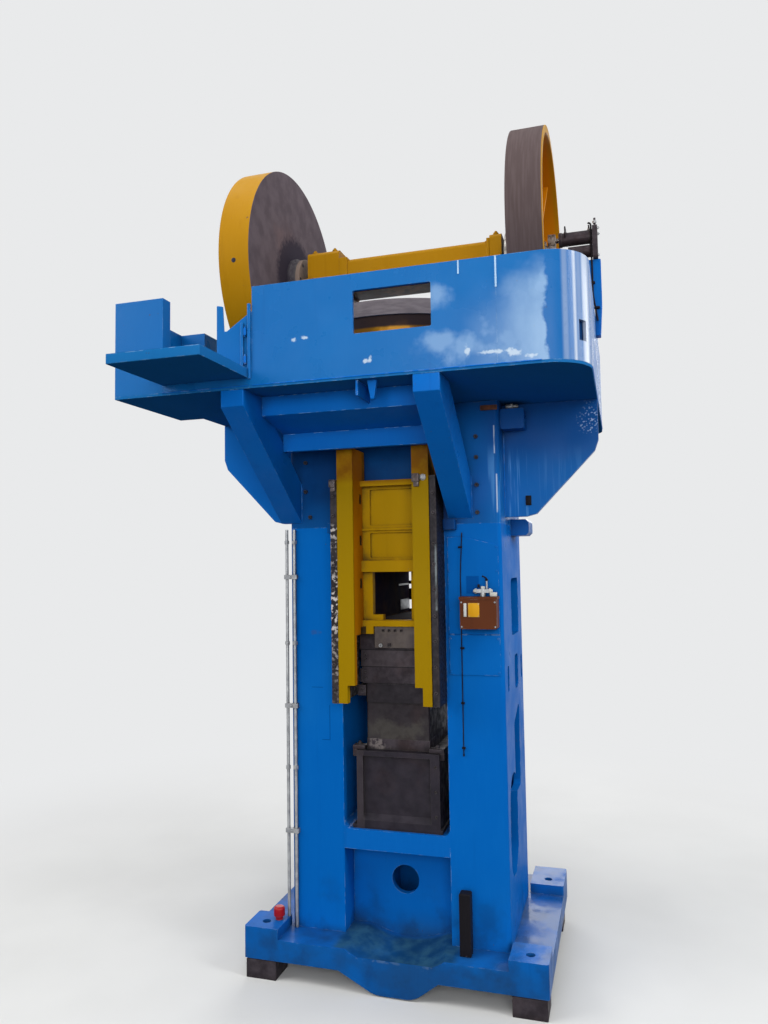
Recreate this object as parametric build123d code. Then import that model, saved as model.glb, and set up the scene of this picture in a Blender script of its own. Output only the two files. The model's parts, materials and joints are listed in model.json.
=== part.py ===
"""Friction screw press: two driven discs turn a flywheel, and its screw drives a ram.

Millimetres, +Z up, front towards -Y. X and Y are measured from the screw's axis. Heights
in this file are measured from the base casting's underside, and save() lifts every piece
by the height of the levelling pads, so the finished press stands on Z = 0.
"""
from build123d import *
import math
import os

os.makedirs("parts", exist_ok=True)

# Base and anchoring
BASE_WIDTH = 2360
BASE_FRONT = -820
BASE_BACK = 980
FLANGE_TOP = 160
LUG_TOP = 240
ANCHOR_X = 1040
ANCHOR_Y = 700
ANCHOR_R = 34
PAD_T = 150

# Frame castings
COLUMN_HALF = 880
COLUMN_FRONT = -550
COLUMN_BACK = 580
OPENING_HALF = 430
TABLE_TOP = 965
JOINT_Z = 3370
HEAD_UNDER = 3750
HEAD_TOP = 4325
CASTING_WALL = 60

# Sheet guard around the flywheel
GUARD_TOP = 5060
GUARD_REACH = 1600
GUARD_HALF = 1620
GUARD_LEFT = -1840
BAY_BACK = -680
GUARD_CORNER = 300
GUARD_PLATE = 25

# Friction drive
SHAFT_Z = 5630
SHAFT_R = 75
DISC_R = 1000
DISC_WIDTH = 270
DISC_FACE_X = 1030
FLYWHEEL_R = 1010
FLYWHEEL_TOP = 5070
RIM_HEIGHT = 260
SCREW_R = 140
STROKE = 300

# Named clearances
RUNNING = 0.05
SLIDING = 0.3
DIE_GAP = 0.5
SWEEP = 20
UNDER_HEAD = 15

# Reach of the cutting blocks that part the guard's walls, past every side of the press
BEYOND = 12000


def block(x0, x1, y0, y1, z0, z1):
    """A box between two corners."""
    centre = ((x0 + x1) / 2, (y0 + y1) / 2, (z0 + z1) / 2)
    return Pos(*centre) * Box(x1 - x0, y1 - y0, z1 - z0)


def prism_xz(points, y0, y1):
    """An outline in the X-Z plane, extruded from y0 to y1."""
    face = make_face(Polyline(*[(x, 0, z) for x, z in points], close=True))
    return Pos(0, y0, 0) * extrude(face, amount=y1 - y0, dir=(0, 1, 0))


def prism_yz(points, x0, x1):
    """An outline in the Y-Z plane, extruded from x0 to x1."""
    face = make_face(Polyline(*[(0, y, z) for y, z in points], close=True))
    return Pos(x0, 0, 0) * extrude(face, amount=x1 - x0, dir=(1, 0, 0))


def rod_x(radius, x0, x1, y=0.0, z=SHAFT_Z):
    return Pos((x0 + x1) / 2, y, z) * Rot(0, 90, 0) * Cylinder(radius, x1 - x0)


def rod_y(radius, y0, y1, x, z):
    return Pos(x, (y0 + y1) / 2, z) * Rot(90, 0, 0) * Cylinder(radius, y1 - y0)


def rod_z(radius, z0, z1, x=0.0, y=0.0):
    return Pos(x, y, (z0 + z1) / 2) * Cylinder(radius, z1 - z0)


def turned_z(profile):
    """A (radius, z) outline turned about the screw's axis."""
    face = make_face(Polyline(*[(r, 0, z) for r, z in profile], close=True))
    return revolve(face, Axis.Z)


def turned_x(profile):
    """A (radius, x) outline turned about the disc shaft's axis."""
    face = make_face(Polyline(*[(x, 0, SHAFT_Z + r) for r, x in profile], close=True))
    return revolve(face, Axis((0, 0, SHAFT_Z), (1, 0, 0)))


def mirrored(shape):
    """The same piece on the other side of the screw."""
    return mirror(shape, Plane.YZ)


def save(shape, name):
    piece = Pos(0, 0, PAD_T) * shape
    piece.label = name
    export_step(piece, f"parts/{name}.step")


# Tie rods: the holes they pass through are cut in the base, uprights and crosshead
TIE_R = 55
TIE_X = (OPENING_HALF + COLUMN_HALF) / 2
TIE_ROWS = (("front", -300), ("rear", 330))
TIE_FOOT = 60
TIE_HOLE_R = TIE_R + 3

# Base casting: flange, four anchor lugs, drain trough and the table between the uprights
half_base = BASE_WIDTH / 2
LUG_WIDTH = 285
REAR_LUG_Y = 570
base = block(-half_base, half_base, BASE_FRONT, BASE_BACK, 0, FLANGE_TOP)
for x0, x1 in ((-half_base, LUG_WIDTH - half_base), (half_base - LUG_WIDTH, half_base)):
    base += block(x0, x1, BASE_FRONT, BASE_FRONT + LUG_WIDTH, FLANGE_TOP, LUG_TOP)
    base += block(x0, x1, REAR_LUG_Y, BASE_BACK, FLANGE_TOP, LUG_TOP)
base = fillet(base.edges().filter_by(Axis.Z).group_by(Axis.X)[0], 18)
base = fillet(base.edges().filter_by(Axis.Z).group_by(Axis.X)[-1], 18)

TROUGH_X = 40
TROUGH_HALF = 385
TROUGH_DEPTH = 110
TROUGH_DIP = 140
TROUGH_TILT = 5.2
PANEL_Y = -330
PANEL_T = 50
keel = [
    (TROUGH_X - 440, 0),
    (TROUGH_X - 150, -TROUGH_DIP),
    (TROUGH_X + 150, -TROUGH_DIP),
    (TROUGH_X + 340, 0),
    (TROUGH_X + 340, 40),
    (TROUGH_X - 440, 40),
]
KEEL_BEND = 200
keel_body = prism_xz(keel, BASE_FRONT, PANEL_Y)
base += fillet(keel_body.edges().filter_by(Axis.Y).group_by(Axis.Z)[0], KEEL_BEND)
trough_r = (TROUGH_HALF**2 + TROUGH_DEPTH**2) / (2 * TROUGH_DEPTH)
trough_centre = FLANGE_TOP - TROUGH_DEPTH + trough_r
scoop = rod_y(trough_r, -60, PANEL_Y - BASE_FRONT + 20, 0, 0)
base -= Pos(TROUGH_X, BASE_FRONT, trough_centre) * Rot(TROUGH_TILT, 0, 0) * scoop

SLAB_T = 155
PORT_X = 10
PORT_Z = 528
PORT_R = 112
slab_under = TABLE_TOP - SLAB_T
base += block(-OPENING_HALF, OPENING_HALF, COLUMN_FRONT, COLUMN_BACK, slab_under, TABLE_TOP)
base += block(-OPENING_HALF, OPENING_HALF, PANEL_Y, PANEL_Y + PANEL_T, 40, slab_under)
base += block(-OPENING_HALF, OPENING_HALF, -PANEL_Y - PANEL_T, -PANEL_Y, 40, slab_under)
for rib_x in (-230, 230):
    base += block(rib_x - 20, rib_x + 20, PANEL_Y + PANEL_T, -PANEL_Y - PANEL_T, FLANGE_TOP, slab_under)
base -= rod_y(PORT_R, PANEL_Y - 5, PANEL_Y + PANEL_T + 5, PORT_X, PORT_Z)
CORNER_R = 58
for side in (-1, 1):
    x0, x1 = sorted((side * OPENING_HALF, side * (OPENING_HALF - CORNER_R)))
    corner = block(x0, x1, COLUMN_FRONT, COLUMN_BACK, TABLE_TOP, TABLE_TOP + CORNER_R)
    hollow_x = side * (OPENING_HALF - CORNER_R)
    base += corner - rod_y(CORNER_R, COLUMN_FRONT - 5, COLUMN_BACK + 5, hollow_x, TABLE_TOP + CORNER_R)
for ax in (-ANCHOR_X, ANCHOR_X):
    for ay in (-ANCHOR_Y, ANCHOR_Y):
        base -= rod_z(ANCHOR_R, -10, LUG_TOP + 10, ax, ay)
for tx in (-TIE_X, TIE_X):
    for _, ty in TIE_ROWS:
        base -= rod_z(TIE_R, TIE_FOOT, FLANGE_TOP + 5, tx, ty)
save(base, "base")

# Levelling pads under the four lugs, drilled for the anchor bolts
PAD_SIDE = 250
for name, px, py in (
    ("pad_front_left", -ANCHOR_X, -ANCHOR_Y),
    ("pad_front_right", ANCHOR_X, -ANCHOR_Y),
    ("pad_rear_left", -ANCHOR_X, ANCHOR_Y),
    ("pad_rear_right", ANCHOR_X, ANCHOR_Y),
):
    pad = Pos(px, py, -PAD_T / 2) * Box(PAD_SIDE, PAD_SIDE - 20, PAD_T)
    pad = chamfer(pad.edges().group_by(Axis.Z)[-1], 12)
    save(pad - rod_z(ANCHOR_R, -PAD_T - 5, 5, px, py), name)

# Hollow uprights with cored windows in their outer walls
SIDE_WINDOWS = (
    (-90, 340, 2460, 2930, 60),
    (-380, -300, 2050, 2250, 30),
    (30, 240, 2010, 2290, 50),
    (420, 500, 2050, 2250, 30),
)
SLANT_SLOT = ((-80, 1190), (230, 1190), (230, 1885), (-80, 1760))
OVAL = (-205, 995, 790, 420)
cut_x = (COLUMN_HALF - CASTING_WALL - 10, COLUMN_HALF + 10)
for side, name in ((-1, "left_upright"), (1, "right_upright")):
    upright = block(OPENING_HALF, COLUMN_HALF, COLUMN_FRONT, COLUMN_BACK, FLANGE_TOP, JOINT_Z)
    upright = fillet(upright.edges().filter_by(Axis.Z).group_by(Axis.X)[-1], 35)
    upright -= block(
        OPENING_HALF + CASTING_WALL,
        COLUMN_HALF - CASTING_WALL,
        COLUMN_FRONT + CASTING_WALL,
        COLUMN_BACK - CASTING_WALL,
        FLANGE_TOP + CASTING_WALL,
        JOINT_Z - CASTING_WALL,
    )
    for y0, y1, z0, z1, radius in SIDE_WINDOWS:
        window = block(*cut_x, y0, y1, z0, z1)
        upright -= fillet(window.edges().filter_by(Axis.X), radius)
    slot = prism_yz(SLANT_SLOT, *cut_x)
    upright -= fillet(slot.edges().filter_by(Axis.X), 45)
    oval_y, oval_z, oval_height, oval_width = OVAL
    oval = extrude(SlotOverall(oval_height, oval_width), 90, both=True)
    upright -= Pos(COLUMN_HALF, oval_y, oval_z) * Rot(0, 90, 0) * oval
    for _, ty in TIE_ROWS:
        upright -= rod_z(TIE_HOLE_R, FLANGE_TOP - 5, JOINT_Z + 5, TIE_X, ty)
    save(upright if side > 0 else mirrored(upright), name)

# Crosshead: hollow side legs, a bored bridge for the nut, and lugs over the parting line
NUT_R = 190
RECESS = 80
head = block(-COLUMN_HALF, COLUMN_HALF, COLUMN_FRONT, COLUMN_BACK, JOINT_Z, HEAD_TOP)
head = fillet(head.edges().filter_by(Axis.Z), 35)
head -= block(-OPENING_HALF, OPENING_HALF, COLUMN_FRONT - 5, COLUMN_BACK + 5, JOINT_Z - 5, HEAD_UNDER)
head -= block(
    -OPENING_HALF, OPENING_HALF, COLUMN_FRONT - 5, COLUMN_FRONT + RECESS, HEAD_UNDER - 5, HEAD_TOP + 5
)
LUG_X = (OPENING_HALF, OPENING_HALF + 102)
LUG_RISE = 35
parting_lug = block(*LUG_X, COLUMN_FRONT - 55, COLUMN_FRONT, JOINT_Z - 45, JOINT_Z + LUG_RISE)
parting_lug = fillet(parting_lug.edges().filter_by(Axis.Z).group_by(Axis.Y)[0], 12)
side_lug = block(COLUMN_HALF, COLUMN_HALF + 150, 0, 280, JOINT_Z - 85, JOINT_Z + 50)
side_lug = chamfer(side_lug.edges().filter_by(Axis.Y).group_by(Axis.X)[-1], 25)
for lug in (parting_lug, side_lug):
    head += lug
    head += mirrored(lug)
for side in (-1, 1):
    x0, x1 = sorted((side * (OPENING_HALF + CASTING_WALL), side * (COLUMN_HALF - CASTING_WALL)))
    y0, y1 = COLUMN_FRONT + CASTING_WALL, COLUMN_BACK - CASTING_WALL
    head -= block(x0, x1, y0, y1, JOINT_Z - 5, HEAD_TOP - CASTING_WALL)
    for _, ty in TIE_ROWS:
        head -= rod_z(TIE_HOLE_R, JOINT_Z, HEAD_TOP + 5, side * TIE_X, ty)
head -= rod_z(NUT_R, HEAD_UNDER - 5, HEAD_TOP + 5)
save(head, "crosshead")

TIE_NUT_T = 90
for side, tag in ((-1, "left"), (1, "right")):
    for row, ty in TIE_ROWS:
        tie = rod_z(TIE_R, TIE_FOOT, HEAD_TOP + TIE_NUT_T + 30, side * TIE_X, ty)
        nut = Pos(side * TIE_X, ty, HEAD_TOP) * extrude(RegularPolygon(92, 6), TIE_NUT_T)
        save(tie + nut, f"tie_rod_{row}_{tag}")

# Wing plates carry the sides of the guard
WING_FRONT = -310
WING_T = 60
wing_outline = [
    (COLUMN_HALF, HEAD_TOP),
    (GUARD_HALF, HEAD_TOP),
    (GUARD_HALF, 4010),
    (GUARD_HALF - 30, 3925),
    (COLUMN_HALF + 250, 3445),
    (COLUMN_HALF + 170, 3425),
    (COLUMN_HALF, 3425),
]
wing = prism_xz(wing_outline, WING_FRONT, WING_FRONT + WING_T)
boss = block(COLUMN_HALF, COLUMN_HALF + 185, WING_FRONT - 150, WING_FRONT, 4110, 4270)
save(wing + fillet(boss.edges().filter_by(Axis.Y), 15), "right_wing")
save(mirrored(wing), "left_wing")

# Box-section braces from the frame out to the guard's edge
BRACE_EDGE = 120
BRACE_LUG_GAP = 5
BRACE_FOOT = JOINT_Z + LUG_RISE + BRACE_LUG_GAP
BRACE_DEPTH = 330
BRACE_WALL = 14
BRACE_X = {
    "left": (-COLUMN_HALF - 75, -COLUMN_HALF + 105),
    "right": (OPENING_HALF + 40, OPENING_HALF + 225),
}


def brace(x0, x1, face_y, reach_y):
    """A hollow brace from the casting's face at face_y up to the guard at reach_y."""
    out = math.copysign(1, reach_y)
    outline = [
        (reach_y, HEAD_TOP),
        (reach_y, HEAD_TOP - BRACE_EDGE),
        (face_y, BRACE_FOOT),
        (face_y, BRACE_FOOT + BRACE_DEPTH),
        (reach_y - out * 300, HEAD_TOP),
    ]
    core = [
        (reach_y - out * 40, HEAD_TOP - BRACE_WALL),
        (reach_y - out * 40, HEAD_TOP - BRACE_EDGE + 12),
        (face_y + out * 14, BRACE_FOOT + 52),
        (face_y + out * 14, BRACE_FOOT + 305),
        (reach_y - out * 285, HEAD_TOP - BRACE_WALL),
    ]
    return prism_yz(outline, x0, x1) - prism_yz(core, x0 + BRACE_WALL, x1 - BRACE_WALL)


for tag, (x0, x1) in BRACE_X.items():
    save(brace(x0, x1, COLUMN_FRONT, -GUARD_REACH), f"front_brace_{tag}")
    save(brace(x0, x1, COLUMN_BACK, GUARD_REACH), f"rear_brace_{tag}")

# Stepped beam between the front braces, bent from one plate, with a gusset to the edge
BEAM_T = 28
STEP_OUT = -1300
STEP_IN = -920
STEP_Z = (4180, 4100, 3962)
beam_line = [
    (STEP_OUT, HEAD_TOP),
    (STEP_OUT, STEP_Z[0]),
    (STEP_IN, STEP_Z[1]),
    (STEP_IN, STEP_Z[2]),
    (STEP_IN + 60, STEP_Z[2]),
    (STEP_IN + 60, STEP_Z[2] + BEAM_T),
    (STEP_IN + BEAM_T, STEP_Z[2] + BEAM_T),
    (STEP_IN + BEAM_T, STEP_Z[1] + BEAM_T),
    (STEP_OUT + BEAM_T, STEP_Z[0] + BEAM_T),
    (STEP_OUT + BEAM_T, HEAD_TOP),
]
beam = prism_yz(beam_line, BRACE_X["left"][1], BRACE_X["right"][0])
beam += block(62, 78, -GUARD_REACH + 20, STEP_OUT, 4215, HEAD_TOP)
save(beam, "front_beam")
hanger_outline = [(135, HEAD_TOP), (205, HEAD_TOP), (185, 4190), (160, 4190)]
save(prism_xz(hanger_outline, -1550, -1520), "hanger_lug")

# Guard floor, cut out for the ram's legs, the nut's ring and the tie rods
FLOOR_T = 20
FLOOR_TOP = HEAD_TOP + FLOOR_T
guard_height = GUARD_TOP - FLOOR_TOP


def guard_plan(inset):
    """Plan outline of the guard, moved inwards by a plate thickness."""
    corners = [
        (GUARD_LEFT + inset, -GUARD_REACH + inset),
        (GUARD_HALF - inset, -GUARD_REACH + inset),
        (GUARD_HALF - inset, GUARD_REACH - inset),
        (-GUARD_HALF + inset, GUARD_REACH - inset),
        (-GUARD_HALF + inset, BAY_BACK - inset),
        (GUARD_LEFT + inset, BAY_BACK - inset),
    ]
    plan = make_face(Polyline(*corners, close=True))
    right = plan.vertices().group_by(Axis.X)[-1]
    rear = plan.vertices().group_by(Axis.Y)[-1].group_by(Axis.X)[0]
    return fillet(right + rear, GUARD_CORNER - inset)


floor_plate = Pos(0, 0, HEAD_TOP) * extrude(guard_plan(0), FLOOR_T)
floor_plate -= block(-400, 400, STEP_IN + 70, COLUMN_FRONT + RECESS, HEAD_TOP - 5, FLOOR_TOP + 5)
floor_plate -= rod_z(300, HEAD_TOP - 5, FLOOR_TOP + 5)
for tx in (-TIE_X, TIE_X):
    for _, ty in TIE_ROWS:
        floor_plate -= rod_z(108, HEAD_TOP - 5, FLOOR_TOP + 5, tx, ty)
save(floor_plate, "guard_floor")

# Guard walls stand on the floor's edge
ACCESS_X = -705
SEAM_X = 1040
REAR_SEAM_X = -1300
PANEL_X = -1430
SILL_TOP = 4440
WINDOW = (55, 605, 4640, 4940)
shell = extrude(guard_plan(0), guard_height) - extrude(guard_plan(GUARD_PLATE), guard_height)
shell = Pos(0, 0, FLOOR_TOP) * shell
front_inner = -GUARD_REACH + GUARD_PLATE

front_wall = shell & block(ACCESS_X, SEAM_X, -BEYOND, 0, 0, BEYOND)
opening = block(WINDOW[0], WINDOW[1], -BEYOND, 0, WINDOW[2], WINDOW[3])
front_wall -= fillet(opening.edges().filter_by(Axis.Y), 12)
front_wall += block(PANEL_X, ACCESS_X, -GUARD_REACH, front_inner, FLOOR_TOP, SILL_TOP)
save(front_wall, "guard_front_wall")

right_wall = shell & block(SEAM_X, BEYOND, -BEYOND, BEYOND, 0, BEYOND)
corner_slot = Pos(GUARD_HALF - 48, -GUARD_REACH + 142, 4548) * Rot(0, 0, -32) * Box(120, 75, 135)
save(right_wall - corner_slot, "guard_right_wall")

save(shell & block(REAR_SEAM_X, SEAM_X, 0, BEYOND, 0, BEYOND), "guard_rear_wall")

left_wall = shell & block(-BEYOND, PANEL_X, -BEYOND, BEYOND, 0, BEYOND)
left_wall += shell & block(PANEL_X, REAR_SEAM_X, 0, BEYOND, 0, BEYOND)
left_wall += block(PANEL_X - GUARD_PLATE, PANEL_X, front_inner, -1500, FLOOR_TOP, GUARD_TOP)
save(left_wall, "guard_left_wall")

# Notched plate beside the access gap, with its hinge
access_outline = [
    (-985, SILL_TOP),
    (ACCESS_X, SILL_TOP),
    (ACCESS_X, 4885),
    (-905, 4755),
    (-925, 4755),
    (-935, 4940),
    (-985, 4950),
]
save(prism_xz(access_outline, -GUARD_REACH, -GUARD_REACH + 14), "access_plate")
HINGE_X = (ACCESS_X - 85, ACCESS_X - 6)
HINGE_LEAF = 24
HINGE_FRONT = -GUARD_REACH - 18
hinge = block(HINGE_X[1] - HINGE_LEAF, HINGE_X[1], HINGE_FRONT, -GUARD_REACH, SILL_TOP - 50, SILL_TOP + 495)
hinge += block(HINGE_X[0], HINGE_X[0] + HINGE_LEAF, HINGE_FRONT, -GUARD_REACH, SILL_TOP + 12, SILL_TOP + 360)
for z in (SILL_TOP + 60, SILL_TOP + 260):
    hinge += block(*HINGE_X, -GUARD_REACH - 10, -GUARD_REACH, z, z + 60)
save(hinge, "access_hinge")

# Access step: a folded tray fixed to the sill
TRAY_X = (-1430, -735)
TRAY_REACH = 670
TRAY_Z = (4400, 4468)
TRAY_T = 8
tray_front = -GUARD_REACH - TRAY_REACH
tray = block(*TRAY_X, tray_front, -GUARD_REACH, *TRAY_Z)
tray_well = (tray_front + TRAY_T, -GUARD_REACH + 5, TRAY_Z[0] + TRAY_T, TRAY_Z[1] + 5)
tray -= block(TRAY_X[0] + TRAY_T, TRAY_X[1] - TRAY_T, *tray_well)
save(tray, "access_step")

# Bronze nut flanged under the crosshead
NUT_FLANGE_R = 250
nut_profile = [
    (SCREW_R + RUNNING, HEAD_UNDER - 40),
    (NUT_FLANGE_R, HEAD_UNDER - 40),
    (NUT_FLANGE_R, HEAD_UNDER),
    (NUT_R, HEAD_UNDER),
    (NUT_R, HEAD_TOP + 30),
    (SCREW_R + RUNNING, HEAD_TOP + 30),
]
save(turned_z(nut_profile), "screw_nut")

# Guide bars: flat faces either side of the ram, front and rear
GUIDE_FACE = 372
GUIDE_Z = (1990, HEAD_UNDER - UNDER_HEAD)
GUIDE_Y = {"front": (-800, -300), "rear": (250, 570)}
for side, tag in ((-1, "left"), (1, "right")):
    for row, (y0, y1) in GUIDE_Y.items():
        bar = block(GUIDE_FACE, OPENING_HALF, y0, y1, *GUIDE_Z)
        bar = chamfer(bar.edges().filter_by(Axis.Z).group_by(Axis.Y)[0], 6)
        save(bar if side > 0 else mirrored(bar), f"guide_{row}_{tag}")

# Ram: cheeks with long front legs, framed panels and a window through the body
RAM_HALF = GUIDE_FACE - SLIDING
LEG_IN = 240
LEG_FRONT = -800
LEG_PLATE_T = 60
BODY_FRONT = -560
BODY_BACK = 560
PLATE_T = 60
RAM_BOTTOM = 2510
RAM_TOP = 3280
LEDGE_TOP = HEAD_UNDER - UNDER_HEAD
LEG_BOTTOM = 1992
LEG_TOP = HEAD_TOP - STROKE - 45
RAM_WINDOW = (-160, 160, 2620, 3000)
LEDGES = (
    (LEDGE_TOP - 45, LEDGE_TOP, 60),
    (RAM_TOP + 55, RAM_TOP + 72, 18),
    (RAM_WINDOW[3] + 3, RAM_WINDOW[3] + 93, 45),
    (RAM_BOTTOM, RAM_WINDOW[2] - 2, 35),
)
SILL_BLOCK = (RAM_WINDOW[0], -75, RAM_WINDOW[2], RAM_WINDOW[2] + 42)
PANELS = ((LEDGE_TOP - 360, LEDGE_TOP - 70), (RAM_WINDOW[3] + 115, RAM_TOP + 35))
LEG_SLOTS = (2494, 2876, 3220, 3551)

ram = block(-RAM_HALF, RAM_HALF, BODY_FRONT, BODY_BACK, RAM_BOTTOM, RAM_TOP)
window_x0, window_x1, window_z0, window_z1 = RAM_WINDOW
ram -= block(window_x0, window_x1, BODY_FRONT - 5, BODY_BACK + 5, window_z0, window_z1)
ram += block(-LEG_IN, LEG_IN, BODY_FRONT, BODY_FRONT + PLATE_T, RAM_TOP, LEDGE_TOP)
for z0, z1, proud in LEDGES:
    ram += block(-LEG_IN, LEG_IN, BODY_FRONT - proud, BODY_FRONT, z0, z1)
for z0, z1 in PANELS:
    panel = block(-175, 190, BODY_FRONT - 1, BODY_FRONT + 18, z0, z1)
    ram -= fillet(panel.edges().filter_by(Axis.Y), 12)
leg_outline = [
    (LEG_IN, LEG_BOTTOM + 138),
    (300, LEG_BOTTOM + 138),
    (300, LEG_BOTTOM),
    (RAM_HALF, LEG_BOTTOM),
    (RAM_HALF, LEG_TOP),
    (LEG_IN, LEG_TOP),
]
leg = prism_xz(leg_outline, LEG_FRONT, BODY_FRONT + PLATE_T)
leg_back = (LEG_FRONT + LEG_PLATE_T, BODY_FRONT + PLATE_T + 5)
leg -= block(LEG_IN - 5, RAM_HALF + 5, *leg_back, LEG_BOTTOM - 5, RAM_BOTTOM)
for z in LEG_SLOTS:
    leg -= block(LEG_IN - 5, LEG_IN + 25, BODY_FRONT - 70, BODY_FRONT - 35, z, z + 70)
ram += leg
ram += mirrored(leg)
sill_x0, sill_x1, sill_z0, sill_z1 = SILL_BLOCK
ram += block(sill_x0, sill_x1, BODY_FRONT, BODY_FRONT + PLATE_T, sill_z0, sill_z1)

# Notch in the ram's front edge, for the lip of the die holder
LIP_X = (-148, LEG_IN)
LIP_Z = (2400, 2570)
LIP_BACK = -500
LIP_GAP = 3
ram -= block(*LIP_X, BODY_FRONT - 50, LIP_BACK + LIP_GAP, RAM_BOTTOM - 5, LIP_Z[1])

# The screw's collar turns in a pocket in the ram, under a bolted retainer
POCKET_R = 232
POCKET_Z = 3110
COLLAR_R = 200
collar_z = (POCKET_Z + SLIDING, POCKET_Z + 62)
ram -= rod_z(POCKET_R, POCKET_Z, RAM_TOP + 5)
save(ram, "ram")
retainer_profile = [
    (SCREW_R + 3, collar_z[1] + SLIDING),
    (POCKET_R, collar_z[1] + SLIDING),
    (POCKET_R, RAM_TOP),
    (290, RAM_TOP),
    (290, RAM_TOP + 28),
    (SCREW_R + 3, RAM_TOP + 28),
]
save(turned_z(retainer_profile), "screw_retainer")

# Upper die stack on the ram, lower die stack on the table
DIE_PART_Z = 1955
UPPER_DIE_TOP = 2105
BOLSTER_TOP = 1575
LOWER_DIE_UNDER = 1660
holder_y = (LIP_BACK, 420)
HOLDER_STEPS = (2240, 2375)
holder = block(-300, 300, *holder_y, HOLDER_STEPS[1], RAM_BOTTOM)
holder += block(-290, 290, *holder_y, *HOLDER_STEPS)
holder += block(-278, 278, *holder_y, UPPER_DIE_TOP, HOLDER_STEPS[0])
lip_x = (LIP_X[0] + LIP_GAP, LIP_X[1] - LIP_GAP)
lip = block(*lip_x, BODY_FRONT - 20, LIP_BACK, LIP_Z[0], LIP_Z[1] - LIP_GAP)
holder += lip
for x in (-85, -35, 15, 65):
    holder -= block(x, x + 22, BODY_FRONT - 25, BODY_FRONT, 2528, 2546)
save(holder, "upper_die_holder")
upper_die = block(-250, 250, *holder_y, DIE_PART_Z + DIE_GAP, UPPER_DIE_TOP)
save(chamfer(upper_die.edges().filter_by(Axis.Z), 12), "upper_die")
LOWER_HALF = 262
lower_y = (-450, 400)
lower_die = block(-LOWER_HALF, LOWER_HALF, *lower_y, LOWER_DIE_UNDER, DIE_PART_Z)
save(chamfer(lower_die.edges().filter_by(Axis.Z), 10), "lower_die")
save(block(-LOWER_HALF, LOWER_HALF, *lower_y, BOLSTER_TOP, LOWER_DIE_UNDER), "die_clamp_plate")

# Bolster with a recessed front and a foot plate
BOLSTER_X = (-330, 350)
BOLSTER_Y = (-520, 500)
FOOT_X = (-368, 366)
FOOT_T = 30
bolster = block(*BOLSTER_X, *BOLSTER_Y, TABLE_TOP, BOLSTER_TOP)
bolster += block(*FOOT_X, *BOLSTER_Y, TABLE_TOP, TABLE_TOP + FOOT_T)
recess = [
    (BOLSTER_Y[0] - 5, TABLE_TOP + 62),
    (BOLSTER_Y[0] + 32, TABLE_TOP + 110),
    (BOLSTER_Y[0] + 32, BOLSTER_TOP - 40),
    (BOLSTER_Y[0] - 5, BOLSTER_TOP - 40),
]
bolster -= prism_yz(recess, BOLSTER_X[0] + 52, BOLSTER_X[1] - 75)
for z in (TABLE_TOP + 130, TABLE_TOP + 320, TABLE_TOP + 510):
    bolster -= rod_y(12, BOLSTER_Y[0] - 5, BOLSTER_Y[0] + 25, BOLSTER_X[1] - 32, z)
save(bolster, "bolster")

# Screw with its thrust collar and a taper for the flywheel, held on by its capped head
HUB_R = 270
HUB_Z = (4480, 5040)
SCREW_CAP_R = 180
screw_profile = [
    (0, collar_z[0]),
    (COLLAR_R, collar_z[0]),
    (COLLAR_R, collar_z[1]),
    (SCREW_R, collar_z[1]),
    (SCREW_R, HUB_Z[0] - 40),
    (120, HUB_Z[0]),
    (100, HUB_Z[1]),
    (SCREW_CAP_R, HUB_Z[1]),
    (SCREW_CAP_R, HUB_Z[1] + 35),
    (0, HUB_Z[1] + 35),
]
save(turned_z(screw_profile), "screw")

# Flywheel: heavy rim, dished web and hub, with a friction lining round the rim
RIM_UNDER = FLYWHEEL_TOP - RIM_HEIGHT
LINING_UNDER = 4950
LINING_T = 25
RIM_IN = 850
wheel_profile = [
    (120, HUB_Z[0]),
    (HUB_R, HUB_Z[0]),
    (HUB_R - 20, 4880),
    (RIM_IN, 4905),
    (RIM_IN - 10, RIM_UNDER),
    (FLYWHEEL_R - 10, RIM_UNDER),
    (FLYWHEEL_R - 10, LINING_UNDER),
    (FLYWHEEL_R - LINING_T, LINING_UNDER),
    (FLYWHEEL_R - LINING_T, FLYWHEEL_TOP),
    (RIM_IN + 10, FLYWHEEL_TOP),
    (RIM_IN, 4985),
    (HUB_R - 20, 5010),
    (HUB_R - 30, HUB_Z[1]),
    (100, HUB_Z[1]),
]
save(turned_z(wheel_profile), "flywheel")
lining_profile = [
    (FLYWHEEL_R - LINING_T, LINING_UNDER),
    (FLYWHEEL_R, LINING_UNDER),
    (FLYWHEEL_R, FLYWHEEL_TOP),
    (FLYWHEEL_R - LINING_T, FLYWHEEL_TOP),
]
save(turned_z(lining_profile), "flywheel_lining")

# Side frames stand on the guard floor, and the flywheel's edge sweeps through their windows
FRAME_HALF = 800
FRAME_SHOULDER = 5360
BLOCK_UNDER = 5450
sweep_top = FLYWHEEL_TOP + STROKE + SWEEP


def side_frame(plate_x, foot_x, block_x, block_top, block_half):
    """Plate portal with a foot flange and the shaft's bearing block."""
    crown = SHAFT_Z + 10
    outline = [
        (-FRAME_HALF, FLOOR_TOP),
        (-FRAME_HALF, FRAME_SHOULDER),
        (-block_half, crown),
        (block_half, crown),
        (FRAME_HALF, FRAME_SHOULDER),
        (FRAME_HALF, FLOOR_TOP),
    ]
    nearest = min(abs(x) for x in plate_x)
    window_half = math.sqrt(FLYWHEEL_R**2 - nearest**2) + SWEEP
    body = prism_yz(outline, *plate_x)
    body -= block(*plate_x, -window_half, window_half, RIM_UNDER - 60, sweep_top)
    body += block(*foot_x, -FRAME_HALF, FRAME_HALF, FLOOR_TOP, FLOOR_TOP + 30)
    bearing = block(*block_x, -block_half, block_half, BLOCK_UNDER, block_top)
    body += fillet(bearing.edges().filter_by(Axis.X).group_by(Axis.Z)[-1], 40)
    return body - rod_x(SHAFT_R + RUNNING, block_x[0] - 5, block_x[1] + 5)


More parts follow.
